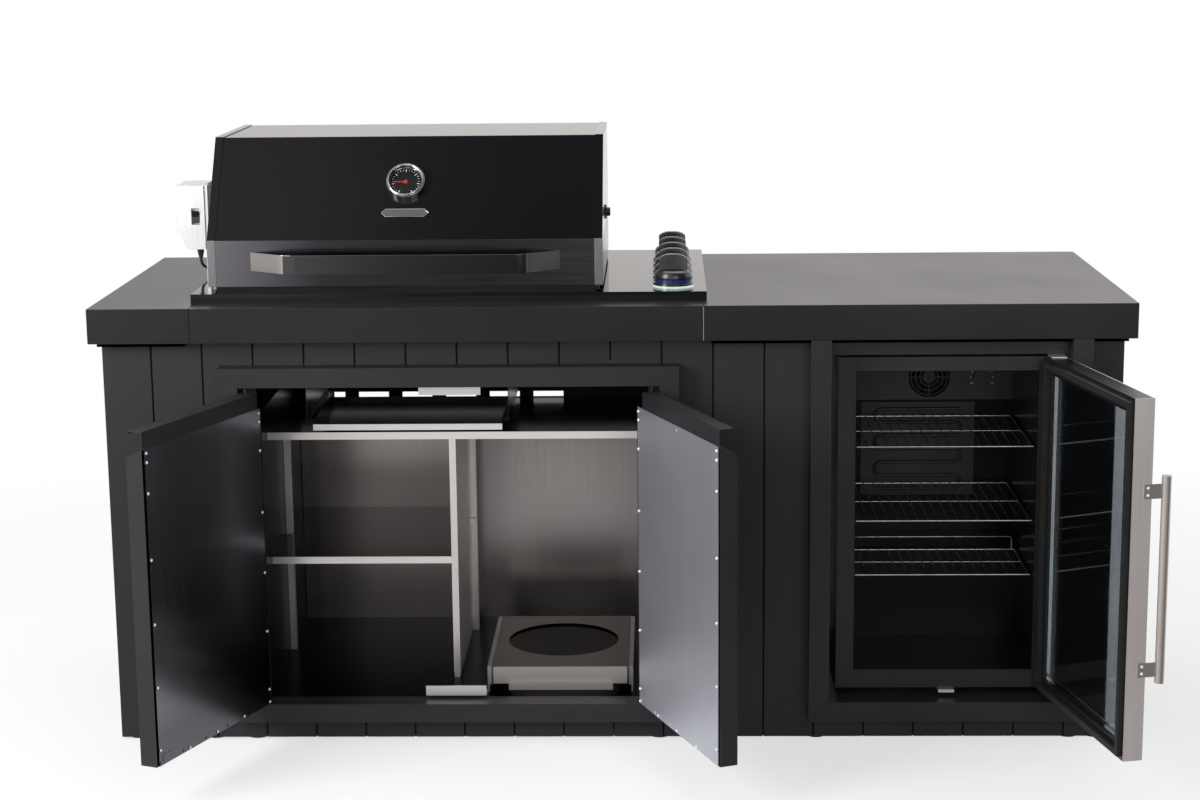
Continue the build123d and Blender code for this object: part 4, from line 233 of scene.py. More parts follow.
# %% Lead: the coil's turns
points_each_half = 8
pull_in = cos(pi / points_each_half / 2)
outer_radius, shrink, layer_rise = 0.044, 0.00335, 0.0066
half_turns_in, half_turns_out = 8, 6
radii_in = [outer_radius - shrink * k for k in range(half_turns_in)]
radii_out = [radii_in[-1] + shrink * (k + 1) for k in range(half_turns_out)]
coil_turns = []
start, side = Vector((-0.745, 0.349, 0.9513)), 1
for index, radius in enumerate(radii_in + radii_out):
    rise = layer_rise if index == half_turns_in - 1 else 0
    middle = start + Vector((0, -side * radius, 0))
    for k in range(points_each_half):
        share = (k + 0.5) / points_each_half
        angle = pi / 2 * side - pi * share
        reach = radius / pull_in
        spot = middle + Vector((reach * cos(angle), reach * sin(angle), rise * share))
        coil_turns.append(tuple(spot))
    start = start + Vector((0, -2 * side * radius, rise))
    side = -side
print("coil points", len(coil_turns))

# %% Lead: one smooth curve
curve = bpy.data.curves.new("mains_lead", "CURVE")
curve.dimensions = "3D"
curve.bevel_depth = lead_radius
curve.bevel_resolution = 4
curve.use_fill_caps = True
spline = curve.splines.new("NURBS")
lead_points = lead_run + coil_turns + tail_run
spline.points.add(len(lead_points) - 1)
for point, spot in zip(spline.points, lead_points):
    point.co = (*spot, 1)
spline.order_u = 3
spline.use_endpoint_u = True
spline.resolution_u = 4
lead = linked("mains_lead", curve)
print("lead of", len(lead_points), "control points")

# %% [markdown]
# Rubber is dull and very dark, with a faint dusty bloom that is rougher in patches.

# %% Rubber
rubber = Finish("lead_rubber", Specular_IOR_Level=0.35)
bloom = rubber.grain((60, 60, 60))
rubber.feed("Base Color", rubber.between(bloom, (0.008, 0.008, 0.009), (0.022, 0.021, 0.020)))
rubber.feed("Roughness", 0.45 + 0.25 * bloom)
rubber.bumps(rubber.grain((900, 900, 900)), 0.15, 0.0004)
lead.data.materials.append(rubber.material)
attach(lead, "body")
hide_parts("motor_cord", "cord_coil")

# %% [markdown]
# ## Helpers for modelling by hand
# Each new piece starts from a primitive at its real size, gets its shape in edit mode
# and its soft edges from a modifier. Then its place is moved into its mesh.


# %% Selecting and settling
def pick(piece):
    if bpy.context.object and bpy.context.object.mode == "EDIT":
        bpy.ops.object.mode_set(mode="OBJECT")
    bpy.ops.object.select_all(action="DESELECT")
    piece.select_set(True)
    bpy.context.view_layer.objects.active = piece


def settle(piece, matrix=None):
    if matrix is not None:
        piece.matrix_world = matrix
    pick(piece)
    bpy.ops.object.transform_apply(location=True, rotation=True, scale=True)


def soften(piece, width, segments=2):
    pick(piece)
    edge = piece.modifiers.new("soft_edge", "BEVEL")
    edge.width, edge.segments = width, segments
    edge.limit_method = "ANGLE"
    edge.angle_limit = radians(25)
    bpy.ops.object.modifier_apply(modifier=edge.name)
    bpy.ops.object.shade_smooth_by_angle(angle=radians(35))
    even = piece.modifiers.new("even", "WEIGHTED_NORMAL")
    even.keep_sharp = True
    even.weight = 100
    bpy.ops.object.modifier_apply(modifier=even.name)


def choose(piece, kind, test):
    """Selects the faces or edges that pass a test, and goes to edit mode."""
    pick(piece)
    bpy.ops.object.mode_set(mode="EDIT")
    bpy.ops.mesh.select_mode(type="FACE" if kind == "faces" else "EDGE")
    bpy.ops.mesh.select_all(action="DESELECT")
    bpy.ops.object.mode_set(mode="OBJECT")
    mesh = piece.data
    if kind == "faces":
        for face in mesh.polygons:
            face.select = test(face.center, face.normal)
    else:
        for edge in mesh.edges:
            a, b = (mesh.vertices[k].co for k in edge.vertices)
            edge.select = test((a + b) / 2, b - a)
    bpy.ops.object.mode_set(mode="EDIT")


def extrude(step):
    """Extrudes what is selected in edit mode."""
    bpy.ops.mesh.extrude_region_move(TRANSFORM_OT_translate={"value": step})


def thicken(piece, thickness, offset):
    """Gives a folded plane the thickness of its sheet."""
    pick(piece)
    sheet = piece.modifiers.new("sheet", "SOLIDIFY")
    sheet.thickness, sheet.offset = thickness, offset
    bpy.ops.object.modifier_apply(modifier=sheet.name)


# %% Starting shapes
def slab(name, low, high):
    low, high = Vector(low), Vector(high)
    bpy.ops.mesh.primitive_cube_add(size=1, location=(low + high) / 2, scale=high - low)
    piece = bpy.context.object
    piece.name = name
    settle(piece)
    return piece


def turned(name, profile, steps=48):
    """Spins a line of (radius, height) points about the upright axis."""
    bpy.ops.mesh.primitive_plane_add(size=0.001)
    piece = bpy.context.object
    piece.name = name
    bpy.ops.object.mode_set(mode="EDIT")
    bpy.ops.mesh.select_mode(type="VERT")
    bpy.ops.mesh.select_all(action="SELECT")
    bpy.ops.mesh.merge(type="CENTER")
    bpy.ops.transform.translate(value=(profile[0][0], 0, profile[0][1]))
    for before, here in zip(profile, profile[1:]):
        extrude((here[0] - before[0], 0, here[1] - before[1]))
    bpy.ops.mesh.select_all(action="SELECT")
    bpy.ops.mesh.spin(steps=steps, angle=2 * pi, center=(0, 0, 0), axis=(0, 0, 1))
    bpy.ops.mesh.select_all(action="SELECT")
    bpy.ops.mesh.remove_doubles(threshold=0.000005)
    bpy.ops.mesh.normals_make_consistent(inside=False)
    bpy.ops.object.mode_set(mode="OBJECT")
    return piece


def joined(pieces, name):
    """Makes several pieces one, under a new name."""
    pick(pieces[0])
    for piece in pieces:
        piece.select_set(True)
    bpy.ops.object.join()
    pieces[0].name = name
    return pieces[0]


def wear(piece, finish, body, slot, *stands_for):
    piece.data.materials.clear()
    piece.data.materials.append(finish.material)
    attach(piece, body)
    if stands_for:
        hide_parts(*stands_for)
    print(piece.name, "rides on", body, "with", len(piece.data.polygons), "faces")


def coat(finish, *names):
    """Gives solids a finish through their material slots."""
    for name in names:
        for slot in nodes[name].material_slots:
            slot.material = finish.material
    print(finish.material.name, "on", ", ".join(names))


# %% [markdown]
# ## Brushed steel
# Brushing leaves long fine scratches along one way of the sheet, so the grain is noise
# stretched along that way. It lightens and roughens the metal a little, and slow clouds
# of noise stand for the soft reflections of a hand-finished sheet.


# %% A brushed finish
def brushed(name, dark, light, along, roughness=0.26, haze=0.14, painted_foot_shade=None):
    steel = Finish(name, Metallic=1.0)
    scale = [700.0, 700.0, 700.0]
    scale["XYZ".index(along)] = 4.0
    scratches = steel.grain(tuple(scale), detail=4.0)
    clouds = steel.grain((2.2, 2.2, 2.2), detail=2.0)
    tone = 0.36 * scratches + 0.72 * clouds
    # painted shade: the sheet grows darker towards its foot
    if painted_foot_shade:
        low_z, high_z, low_share = painted_foot_shade
        values = {"Value": steel.axis("Z"), 1: low_z, 2: high_z, 3: low_share, 4: 1.0}
        tone = (tone + 0.25) * steel.node("MapRange", {}, values)
    steel.feed("Base Color", steel.between(tone, dark, light))
    steel.feed("Roughness", roughness - haze / 2 + haze * scratches)
    steel.bumps(scratches, 0.12, 0.0004)
    return steel


lip_steel = brushed("lip_steel", (0.66, 0.64, 0.63), (0.96, 0.94, 0.92), "X", 0.4)
divider_steel = brushed("divider_steel", (0.66, 0.63, 0.62), (0.98, 0.95, 0.93), "Z", 0.42)
dark_steel = brushed("dark_steel", (0.012, 0.011, 0.010), (0.045, 0.042, 0.040), "X", 0.26)
# The two door sheets are one steel in a shaded and a lit copy: the left one is painted dark as shade
# and dark reflection, darker still towards its foot, and the right one is painted light.
left_sheet_steel = brushed(
    "left_sheet_steel", (0.05, 0.051, 0.06), (0.42, 0.43, 0.47), "Z", 0.20, painted_foot_shade=(0.15, 0.5, 0.12)
)
right_sheet_steel = brushed("right_sheet_steel", (0.54, 0.555, 0.62), (0.86, 0.88, 0.96), "Z", 0.46)
fridge_door_steel = brushed("fridge_door_steel", (0.60, 0.56, 0.535), (0.92, 0.86, 0.83), "Z", 0.5)
# painted reflection: the hood strap's steel is painted dark as a dark reflection, and its bends get a
# lighter copy below, painted as a reflection of the pale wall at the left
pull_steel = brushed("pull_steel", (0.05, 0.049, 0.052), (0.14, 0.136, 0.14), "X", 0.12, 0.06)
pull_bends_painted_reflection = brushed("pull_bends_painted_reflection", (0.26, 0.253, 0.25), (0.56, 0.54, 0.535), "X", 0.2, 0.08)
fridge_bar_steel = brushed("fridge_bar_steel", (0.35, 0.325, 0.305), (0.54, 0.50, 0.475), "Z", 0.5)
coat(divider_steel, "divider")
coat(lip_steel, "cabinet_fittings")
coat(dark_steel, "firebox", "flame_tamers", "burners", "drip_tray_rails")
coat(left_sheet_steel, "left_door_sheet")
coat(right_sheet_steel, "right_door_sheet")
coat(fridge_bar_steel, "fridge_handle")
coat(fridge_door_steel, "fridge_hinge_brackets")
coat(pull_steel, "hood_handle")

# %% [markdown]
# The band along the foot of the hood is darker in its middle and brighter
# towards its ends. A ramp along X at each end adds to the tone.

# %% Hood band
band_steel = Finish("band_steel", Metallic=1.0)
band_x = band_steel.axis("X")
band_left = band_steel.node("MapRange", {}, {"Value": band_x, 1: -0.83, 2: -0.60, 3: 0.55, 4: 0.0})
band_right = band_steel.node("MapRange", {}, {"Value": band_x, 1: -0.26, 2: -0.02, 3: 0.0, 4: 0.16})
band_lines = band_steel.grain((4, 700, 700), detail=4.0)
band_tone = 0.12 * band_lines + 0.10 * band_steel.grain((2.2, 2.2, 2.2)) + band_left + band_right
band_steel.feed("Base Color", band_steel.between(band_tone, (0.028, 0.028, 0.033), (0.36, 0.35, 0.39)))
band_steel.feed("Roughness", 0.12 + 0.14 * band_lines)
band_steel.bumps(band_lines, 0.12, 0.0004)
coat(band_steel, "hood_band")

# %% [markdown]
# The liner of the cabinet is bright between the shelves. Above the upper shelf, on the
# floor and on the left wall it is painted dark as shade and dark reflection, so the place
# of a point picks the tone. A dark edge tint keeps the floor from mirroring at a low angle.

# %% Cabinet walls
walls = Finish("cabinet_walls", Metallic=1.0, Specular_Tint=(0.5, 0.5, 0.5))
level = walls.axis("Z")
upper_shelf_z, floor_z, left_wall_x = 0.6168, 0.0885, -0.7340
# painted shade and dark reflection above the upper shelf, on the floor and on the left wall
shaded = (level > upper_shelf_z) + (level < floor_z) + (walls.axis("X") < left_wall_x)
polish = walls.grain((700, 700, 4), detail=4.0)
patches = walls.grain((2.2, 2.2, 2.2), detail=2.0)
upward = walls.node("MapRange", {}, {"Value": level, 1: 0.09, 2: 0.5, 3: 0.45, 4: 1.0})
wall_tone = 0.3 * polish + 0.7 * patches * upward
bright_wall = walls.between(wall_tone, (0.26, 0.24, 0.235), (0.84, 0.77, 0.755))
walls.feed("Base Color", walls.between(shaded, bright_wall, (0.014, 0.013, 0.013)))
walls.feed("Roughness", 0.20 + 0.08 * polish)
walls.bumps(polish, 0.08, 0.0004)
coat(walls, "cabinet_liner")

# %% [markdown]
# Shelves and trays are folded from polished sheet. Their tops are painted dark, a painted
# reflection of the dark inside of the cabinet, and their folded front lips face the light.
# A step along Y tells the lip from the top, so one sheet keeps one finish.


# %% Polished trays with a bright lip
def lipped(name, lip_y, dark, light, bright):
    steel = Finish(name, Metallic=1.0, Specular_Tint=(0.55, 0.55, 0.55))
    lip = steel.axis("Y") < lip_y
    scratches = steel.grain((5, 420, 420), detail=4.0)
    clouds = steel.grain((2.5, 2.5, 2.5), detail=2.0)
    # painted reflection: the dark tone of the top mirrors the cabinet's dark inside
    top = steel.between(0.6 * scratches + 0.4 * clouds, dark, light)
    steel.feed("Base Color", steel.between(lip, top, bright))
    steel.feed("Roughness", 0.10 + 0.08 * scratches + 0.26 * lip)
    steel.bumps(scratches, 0.08, 0.0004)
    return steel


bright_lip, plain_lip = (0.94, 0.91, 0.895), (0.46, 0.43, 0.42)
# the second and third colours are each top's painted dark reflection
trays = {
    "upper_shelf": (-0.1560, (0.008, 0.0075, 0.007), (0.025, 0.023, 0.022), bright_lip),
    "middle_shelf": (-0.1510, (0.022, 0.020, 0.019), (0.060, 0.055, 0.052), bright_lip),
    "drip_tray": (-0.1560, (0.012, 0.012, 0.012), (0.036, 0.035, 0.034), bright_lip),
    "gas_tray": (-0.2615, (0.06, 0.054, 0.05), (0.15, 0.137, 0.128), plain_lip),
}
for name, tones in trays.items():
    coat(lipped(name + "_steel", *tones), name)

# %% [markdown]
# ## Zinc-coated steel
# Frames and runners that nobody sees are galvanised. Zinc freezes in flat crystals, and
# cells of a Voronoi pattern, each a slightly different grey, look like them.

# %% Zinc
zinc = Finish("zinc", Metallic=1.0)
crystal = zinc.node("TexVoronoi", {}, {"Vector": zinc.place(), "Scale": 85.0}, "Color")
tone = zinc.node("SeparateXYZ", {}, {0: crystal}, "X")
zinc.feed("Base Color", zinc.between(tone, (0.29, 0.29, 0.30), (0.37, 0.375, 0.385)))
zinc.feed("Roughness", 0.40 + 0.08 * tone)
zinc.bumps(zinc.grain((300, 300, 300)), 0.08, 0.0004)
coat(zinc, "back_panel", "gas_tray_runners", "gas_tray_middle_runners")

# %% [markdown]
# ## Powder coat
# Boards, frames and worktop are powder coated in charcoal. Powder melts to a fine orange
# peel, so the bump is small round noise, and dust and handling vary the gloss slowly.


# %% A powder finish
def powder(name, dark, light, roughness=0.46, shine=0.4):
    paint = Finish(name, Specular_IOR_Level=shine)
    dust = paint.grain((3.1, 3.1, 3.1), detail=4.0)
    peel = paint.grain((520, 520, 520), detail=1.0)
    paint.feed("Base Color", paint.between(0.7 * dust + 0.3 * peel, dark, light))
    paint.feed("Roughness", roughness - 0.06 + 0.12 * dust)
    paint.bumps(peel, 0.16, 0.0005)
    return paint


board_paint = powder("board_paint", (0.014, 0.0138, 0.0165), (0.023, 0.0225, 0.026), 0.44, 0.32)
frame_paint = powder("frame_paint", (0.012, 0.0118, 0.014), (0.022, 0.0215, 0.024), 0.38, 0.35)
skin_paint = powder("skin_paint", (0.012, 0.0115, 0.0135), (0.022, 0.021, 0.023), 0.36, 0.4)
top_paint = powder("top_paint", (0.007, 0.0068, 0.0075), (0.013, 0.0125, 0.0137), 0.31, 0.36)
coat(board_paint, "cladding_front", "cladding_sides", "carcass_frame")
coat(frame_paint, "door_surround", "fridge_surround")
coat(skin_paint, "left_door_skin", "right_door_skin")
coat(top_paint, "worktop_left", "worktop_rails", "worktop_right")

# %% [markdown]
# ## Black enamel
# The hood and the deck are glossy black enamel. It mirrors the room, so it needs a low
# roughness, a clear coat and only a trace of unevenness.


# %% Enamel
def enamel(name, roughness, shine):
    gloss = Finish(name, Specular_IOR_Level=shine, Coat_Roughness=0.04)
    sweep = gloss.grain((1.4, 1.4, 1.4), detail=2.0)
    specks = gloss.grain((240, 240, 240), detail=2.0)
    gloss.feed("Base Color", gloss.between(sweep, (0.0035, 0.0035, 0.004), (0.009, 0.009, 0.010)))
    gloss.feed("Roughness", roughness + 0.06 * specks)
    gloss.feed("Coat Weight", 0.02 + 0.05 * sweep)
    gloss.bumps(sweep, 0.05, 0.002)
    return gloss


hood_enamel = enamel("hood_enamel", 0.10, 0.2)
deck_enamel = enamel("deck_enamel", 0.05, 0.34)
coat(hood_enamel, "hood_panel")
coat(deck_enamel, "bbq_deck")

# %% [markdown]
# The hood's end plates are enamel above and bare steel beside the lower band. One
# finish can hold both: the height of a point decides how metallic it is.

# %% Hood ends
ends = Finish("hood_ends", Specular_IOR_Level=0.25)
steel_top_z = 1.0545
steel_part = ends.axis("Z") < steel_top_z
brush = ends.grain((420, 420, 5), detail=4.0)
ends.feed("Base Color", ends.between(steel_part, (0.006, 0.006, 0.007), (0.30, 0.30, 0.31)))
ends.feed("Metallic", steel_part * 1.0)
ends.feed("Roughness", 0.09 + steel_part * (0.12 + 0.12 * brush))
ends.bumps(brush, 0.05, 0.0004)
coat(ends, "hood_ends")

# %% [markdown]
# ## Plastics, cast iron, brass and wire
# Small parts each get the grain of their own making: moulded plastic is finely spark
# eroded, cast iron is sandy, brass is turned, and plated wire is almost a mirror.

# %% Moulded plastic
plastic = Finish("moulded_plastic", Specular_IOR_Level=0.4)
cloud = plastic.grain((9, 9, 9))
plastic.feed("Base Color", plastic.between(cloud, (0.007, 0.007, 0.008), (0.020, 0.020, 0.021)))
plastic.feed("Roughness", 0.28 + 0.2 * cloud)
plastic.bumps(plastic.grain((1100, 1100, 1100)), 0.12, 0.0003)
coat(plastic, "rocker_switch", "mains_plug", "levelling_feet", "thermostat_dial", "fridge_fan")
coat(plastic, "fridge_cabinet", "fridge_cooling")

# %% Fridge lining
lining = Finish("fridge_lining", Specular_IOR_Level=0.16)
film = lining.grain((5, 5, 5))
lining.feed("Base Color", lining.between(film, (0.0025, 0.0025, 0.0034), (0.006, 0.006, 0.0078)))
lining.feed("Roughness", 0.16 + 0.14 * film)
lining.bumps(lining.grain((500, 500, 500)), 0.05, 0.0003)
coat(lining, "fridge_liner")
coat(rubber, "fridge_gasket")

# %% Cast iron
iron = Finish("cast_iron", Metallic=0.6)
sand = iron.grain((340, 340, 340))
iron.feed("Base Color", iron.between(sand, (0.012, 0.012, 0.012), (0.040, 0.038, 0.036)))
iron.feed("Roughness", 0.5 + 0.3 * sand)
iron.bumps(sand, 0.4, 0.0006)
coat(iron, "cooking_grates")

# %% Brass
brass = Finish("valve_brass", Metallic=1.0)
lathe = brass.grain((70, 70, 700))
brass.feed("Base Color", brass.between(lathe, (0.42, 0.29, 0.11), (0.72, 0.54, 0.26)))
brass.feed("Roughness", 0.24 + 0.2 * lathe)
coat(brass, "gas_manifold")

# %% Plated wire
wire = Finish("plated_wire", Metallic=1.0)
dull = wire.grain((40, 40, 40))
wire.feed("Base Color", wire.between(dull, (0.16, 0.16, 0.17), (0.42, 0.42, 0.43)))
wire.feed("Roughness", 0.16 + 0.16 * dull)
coat(wire, "fridge_shelf_top", "fridge_shelf_middle", "fridge_shelf_low")

# %% Chrome
chrome = Finish("gauge_chrome", Metallic=1.0)
smear = chrome.grain((60, 60, 60))
chrome.feed("Base Color", chrome.between(smear, (0.55, 0.55, 0.56), (0.80, 0.80, 0.80)))
chrome.feed("Roughness", 0.06 + 0.12 * smear)
coat(chrome, "gauge_case")

# %% Needle red
needle_red = Finish("needle_red", Specular_IOR_Level=0.3)
fleck = needle_red.grain((400, 400, 400))
needle_red.feed("Base Color", needle_red.between(fleck, (0.42, 0.012, 0.01), (0.60, 0.025, 0.02)))
needle_red.feed("Roughness", 0.35 + 0.1 * fleck)
coat(needle_red, "gauge_needle")

# %% [markdown]
# ## Door glass
# The fridge door has a double pane with a dark, slightly green cast at its edges. A
# faint smear of roughness keeps it from looking like air.

# %% Glass
glass = Finish("door_glass", Transmission_Weight=1.0, IOR=1.45)
wipe = glass.grain((4, 4, 14))
glass.feed("Base Color", glass.between(wipe, (0.16, 0.18, 0.20), (0.24, 0.27, 0.29)))
glass.feed("Roughness", 0.01 + 0.04 * wipe)
coat(glass, "fridge_door_glass")

# %% [markdown]
# ## The fridge door
# The door is a steel shell with a black moulded frame set into its back. Distances from
# the hinge pin, along the door and out of it, tell the shell from the frame.

# %% Fridge door finish
door = Finish("fridge_door")
fridge_pin = Vector((0.903, -0.3205, 0))
fridge_run = Vector((0.2079, -0.9781, 0))
fridge_in = Vector((-0.9781, -0.2079, 0))
from_pin_x, from_pin_y = door.axis("X") - fridge_pin.x, door.axis("Y") - fridge_pin.y
along_door = from_pin_x * fridge_run.x + from_pin_y * fridge_run.y
out_of_door = from_pin_x * -fridge_in.x + from_pin_y * -fridge_in.y
shell_end, shell_back = 0.4362, 0.0190
shell = (along_door > shell_end) + (along_door < shell_end) * (out_of_door > shell_back)
brush_lines = door.grain((700, 700, 4), detail=4.0)
haze = door.grain((2.2, 2.2, 2.2), detail=2.0)
shell_tone = door.between(0.36 * brush_lines + 0.72 * haze, (0.68, 0.63, 0.60), (0.97, 0.91, 0.88))
door.feed("Base Color", door.between(shell, (0.008, 0.008, 0.009), shell_tone))
door.feed("Metallic", shell * 1.0)
door.feed("Roughness", 0.30 + 0.16 * shell + 0.1 * brush_lines)
door.bumps(brush_lines, 0.08, 0.0004)
coat(door, "fridge_door_frame")

# %% [markdown]
# ## The knobs' bezels
# Each knob stands on a black bezel with a translucent ring that glows a dark blue, and
# a pale line at its foot that is a painted highlight made to glow. The ring is the upper
# step of the bezel, so the height of a point picks glow or gloss. On the front knob the ring
# and the foot line glow the most, which is painted highlight.

# %% Bezels that glow
bezel = Finish("bezel", Specular_IOR_Level=0.5, Emission_Strength=1.0)
ring_low_z, foot_high_z, front_knob_y = 0.9575, 0.9524, -0.16
lit = bezel.axis("Z") > ring_low_z
foot_line = bezel.axis("Z") < foot_high_z
spark = bezel.grain((90, 90, 90))
bezel.feed("Base Color", bezel.between(lit, (0.010, 0.010, 0.012), (0.012, 0.014, 0.035)))
bezel.feed("Roughness", 0.12 + 0.1 * spark)
front_knob = bezel.axis("Y") < front_knob_y
# painted highlight: the front knob's ring glows more than the others
ring_glow_and_highlight = bezel.between(front_knob, (0.001, 0.002, 0.008), (0.004, 0.005, 0.055))
glow = bezel.between(lit, (0, 0, 0), ring_glow_and_highlight)
# painted highlight: the pale line at the foot, brightest on the front knob
painted_foot_highlight = bezel.between(front_knob, (0.10, 0.12, 0.16), (0.62, 0.74, 0.70))
bezel.feed("Emission Color", bezel.between(foot_line, glow, painted_foot_highlight))
coat(bezel, "knob_bezels")

# %% Knob bodies
knob_black = Finish("knob_black", Specular_IOR_Level=0.5)
matt = knob_black.grain((30, 30, 30))
knob_black.feed("Base Color", knob_black.between(matt, (0.008, 0.008, 0.009), (0.020, 0.020, 0.021)))
knob_black.feed("Roughness", 0.2 + 0.14 * matt)
knob_black.bumps(knob_black.grain((300, 300, 300)), 0.02, 0.0002)
coat(knob_black, *[f"knob_{index}" for index in range(1, 6)])

# %% [markdown]
# ## The motor's box
# The box is brushed, and the gland below it is black plastic. They are one solid, so
# again the place of a point picks the finish.

# %% Motor
motor = Finish("motor_box")
box_low_z, box_high_x = 1.0105, -0.8689
gland = (motor.axis("Z") < box_low_z) * (motor.axis("X") < box_high_x)
rub = motor.grain((420, 420, 5), detail=4.0)
drift = motor.grain((6, 6, 6))
sheet_tone = motor.between(0.6 * rub + 0.5 * drift, (0.52, 0.51, 0.515), (0.86, 0.85, 0.86))
motor.feed("Base Color", motor.between(gland, sheet_tone, (0.012, 0.012, 0.013)))
motor.feed("Metallic", 1 - gland)
motor.feed("Roughness", 0.36 + 0.12 * rub)
motor.bumps(rub, 0.1, 0.0004)
coat(motor, "motor_housing")

# %% [markdown]
# ## The floor and the light
# The object stands on a pale studio floor that fades into a white backdrop. The floor
# turns transparent away from the object, so no horizon shows, and it keeps the shadow.

# %% Floor
floor_radius = 9
bpy.ops.mesh.primitive_circle_add(vertices=96, radius=floor_radius, fill_type="NGON")
floor = bpy.context.object
floor.name = "floor"
pale = Finish("pale_floor", Roughness=0.85, Specular_IOR_Level=0.1)
fine = pale.grain((3, 3, 3))
pale.feed("Base Color", pale.between(fine, (0.90, 0.90, 0.90), (0.94, 0.94, 0.94)))
away = pale.node("VectorMath", {"operation": "LENGTH"}, {0: pale.place()}, "Value")
pale.feed("Alpha", pale.node("MapRange", {}, {"Value": away, 1: 0.9, 2: 2.8, 3: 0.36, 4: 0.0}))
floor.data.materials.append(pale.material)
print(floor.name, "is a disc", round(floor.dimensions.x, 2), "m wide")

# %% [markdown]
# The camera and clear glass see plain white. Glossy surfaces see white behind and above
# the object too, and a dim room in front of it with a pale wall at the left, because
# black enamel and brushed steel get their depth from what they mirror.

# %% World
world = bpy.data.worlds.new("studio")
bpy.context.scene.world = world
world.use_nodes = True
world.node_tree.nodes.clear()
sky = Graph(world.node_tree)
heading = sky.node("TexCoord", {}, {}, "Generated")
sideways = sky.node("SeparateXYZ", {}, {0: heading}, "X")
backward = sky.node("SeparateXYZ", {}, {0: heading}, "Y")
behind = sky.node("MapRange", {}, {"Value": backward, 1: -0.25, 2: 0.15, 3: 0.0, 4: 1.0})
pale_wall = sky.node("MapRange", {}, {"Value": sideways, 1: -0.105, 2: -0.16, 3: 0.12, 4: 0.68})
mirrored = behind.maths("MAXIMUM", behind * (0.97 + 0.60 * sideways), pale_wall)
glossy = sky.node("LightPath", {}, {}, "Is Glossy Ray")
direct = sky.node("LightPath", {}, {}, "Is Camera Ray")
clear = sky.node("LightPath", {}, {}, "Is Transmission Ray")
soft = sky.node("Background", {}, {"Color": (0.88, 0.94, 1.0, 1), "Strength": 0.36})
room = sky.node("Background", {}, {"Color": (1.0, 0.965, 0.945, 1), "Strength": mirrored})
plain = sky.node("Background", {}, {"Color": (1, 1, 1, 1), "Strength": 1.0})
lit_room = sky.node("MixShader", {}, {0: glossy, 1: soft, 2: room})
shown = sky.node("MixShader", {}, {0: direct.maths("MAXIMUM", direct, clear), 1: lit_room, 2: plain})
sky.node("OutputWorld", {}, {"Surface": shown}, None)
print("world of", len(world.node_tree.nodes), "nodes")


# %% Lamps
def softbox(name, place, aim, size, power):
    lamp = bpy.data.lights.new(name, "AREA")
    lamp.shape = "RECTANGLE"
    lamp.size, lamp.size_y = size
    lamp.energy = power
    holder = linked(name, lamp)
    holder.location = place
    holder.rotation_euler = (Vector(aim) - Vector(place)).to_track_quat("-Z", "Y").to_euler()


softbox("key_lamp", (-2.7, -2.5, 2.0), (-0.5, 0, 0.6), (1.6, 1.6), 124)
softbox("fill_lamp", (1.5, -4.6, 1.7), (0.2, 0, 0.5), (2.0, 2.0), 39)
softbox("low_lamp", (-0.8, -4.7, 1.8), (0.2, 0, 0.5), (2.0, 2.0), 14)
softbox("top_lamp", (0, 0.6, 3.4), (0, 0.1, 0.9), (4.0, 1.4), 45)
print("lamps placed")

# %% [markdown]
# ## Worktop with soft edges
# The worktop is folded from sheet, so its edges are small rounds that catch the light.
# Each part starts as a block, gets its hollow underside by inset and extrude, and then
# a bevel.


# %% Folded trays
def folded_tray(name, low, high, skin=0.003, lip=0.015):
    piece = slab(name, low, high)
    choose(piece, "faces", lambda middle, normal: normal.z < -0.9)
    bpy.ops.mesh.inset(thickness=lip, depth=0)
    extrude((0, 0, skin))
    bpy.ops.mesh.inset(thickness=lip - skin, depth=0, use_outset=True)
    extrude((0, 0, high[2] - low[2] - 2 * skin))
    bpy.ops.object.mode_set(mode="OBJECT")
    soften(piece, 0.0012, 3)
    return piece


for side in ("left", "right"):
    tray = folded_tray("worktop_tray_" + side, *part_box("worktop_" + side))
    wear(tray, top_paint, "body", "worktop_paint", "worktop_" + side)

# %% [markdown]
# Where the right part of the worktop meets the deck's rails, a thin bead of grey sealant
# fills the joint in the front apron.

# %% Joint bead
sealant = powder("sealant_grey", (0.20, 0.20, 0.21), (0.30, 0.30, 0.31), 0.5, 0.3)
tray_low, tray_high = (Vector(corner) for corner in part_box("worktop_right"))
bead = slab(
    "worktop_joint_bead",
    tray_low + Vector((-0.0007, -0.0001, 0.0010)),
    (tray_low.x + 0.0006, tray_low.y + 0.0007, tray_high.z - 0.0015),
)
soften(bead, 0.0002, 2)
wear(bead, sealant, "body", "worktop_paint")

# %% [markdown]
# ## The hood's handle
# The handle is one strap of steel, bent back to the hood at both ends. A plane as long
# as its straight part is extruded at both sides, the two bends are rounded with a bevel,
# and Solidify gives the thickness of the strap.

# %% Strap handle
grip_left_x, grip_right_x, grip_y, grip_z = -0.661, -0.173, -0.3045, 1.0105
grip_width, strap_thickness, strap_bend = 0.039, 0.004, 0.020
left_end, right_end, hair = (-0.079, 0.0565, 0), (0.071, 0.0565, 0), 0.001
grip_middle_x = (grip_left_x + grip_right_x) / 2
bpy.ops.mesh.primitive_plane_add(
    size=1, location=(grip_middle_x, grip_y, grip_z), rotation=(pi / 2, 0, 0)
)
strap = bpy.context.object
strap.name = "hood_strap"
strap.scale = (grip_right_x - grip_left_x, grip_width, 1)
settle(strap)
choose(strap, "edges", lambda middle, run: middle.x < grip_left_x + hair)
extrude(left_end)
choose(strap, "edges", lambda middle, run: middle.x > grip_right_x - hair)
extrude(right_end)
choose(strap, "edges", lambda middle, run: abs(run.z) > hair and abs(middle.y - grip_y) < hair)
bpy.ops.mesh.bevel(offset=strap_bend, segments=8, affect="EDGES")
thicken(strap, strap_thickness, -1)
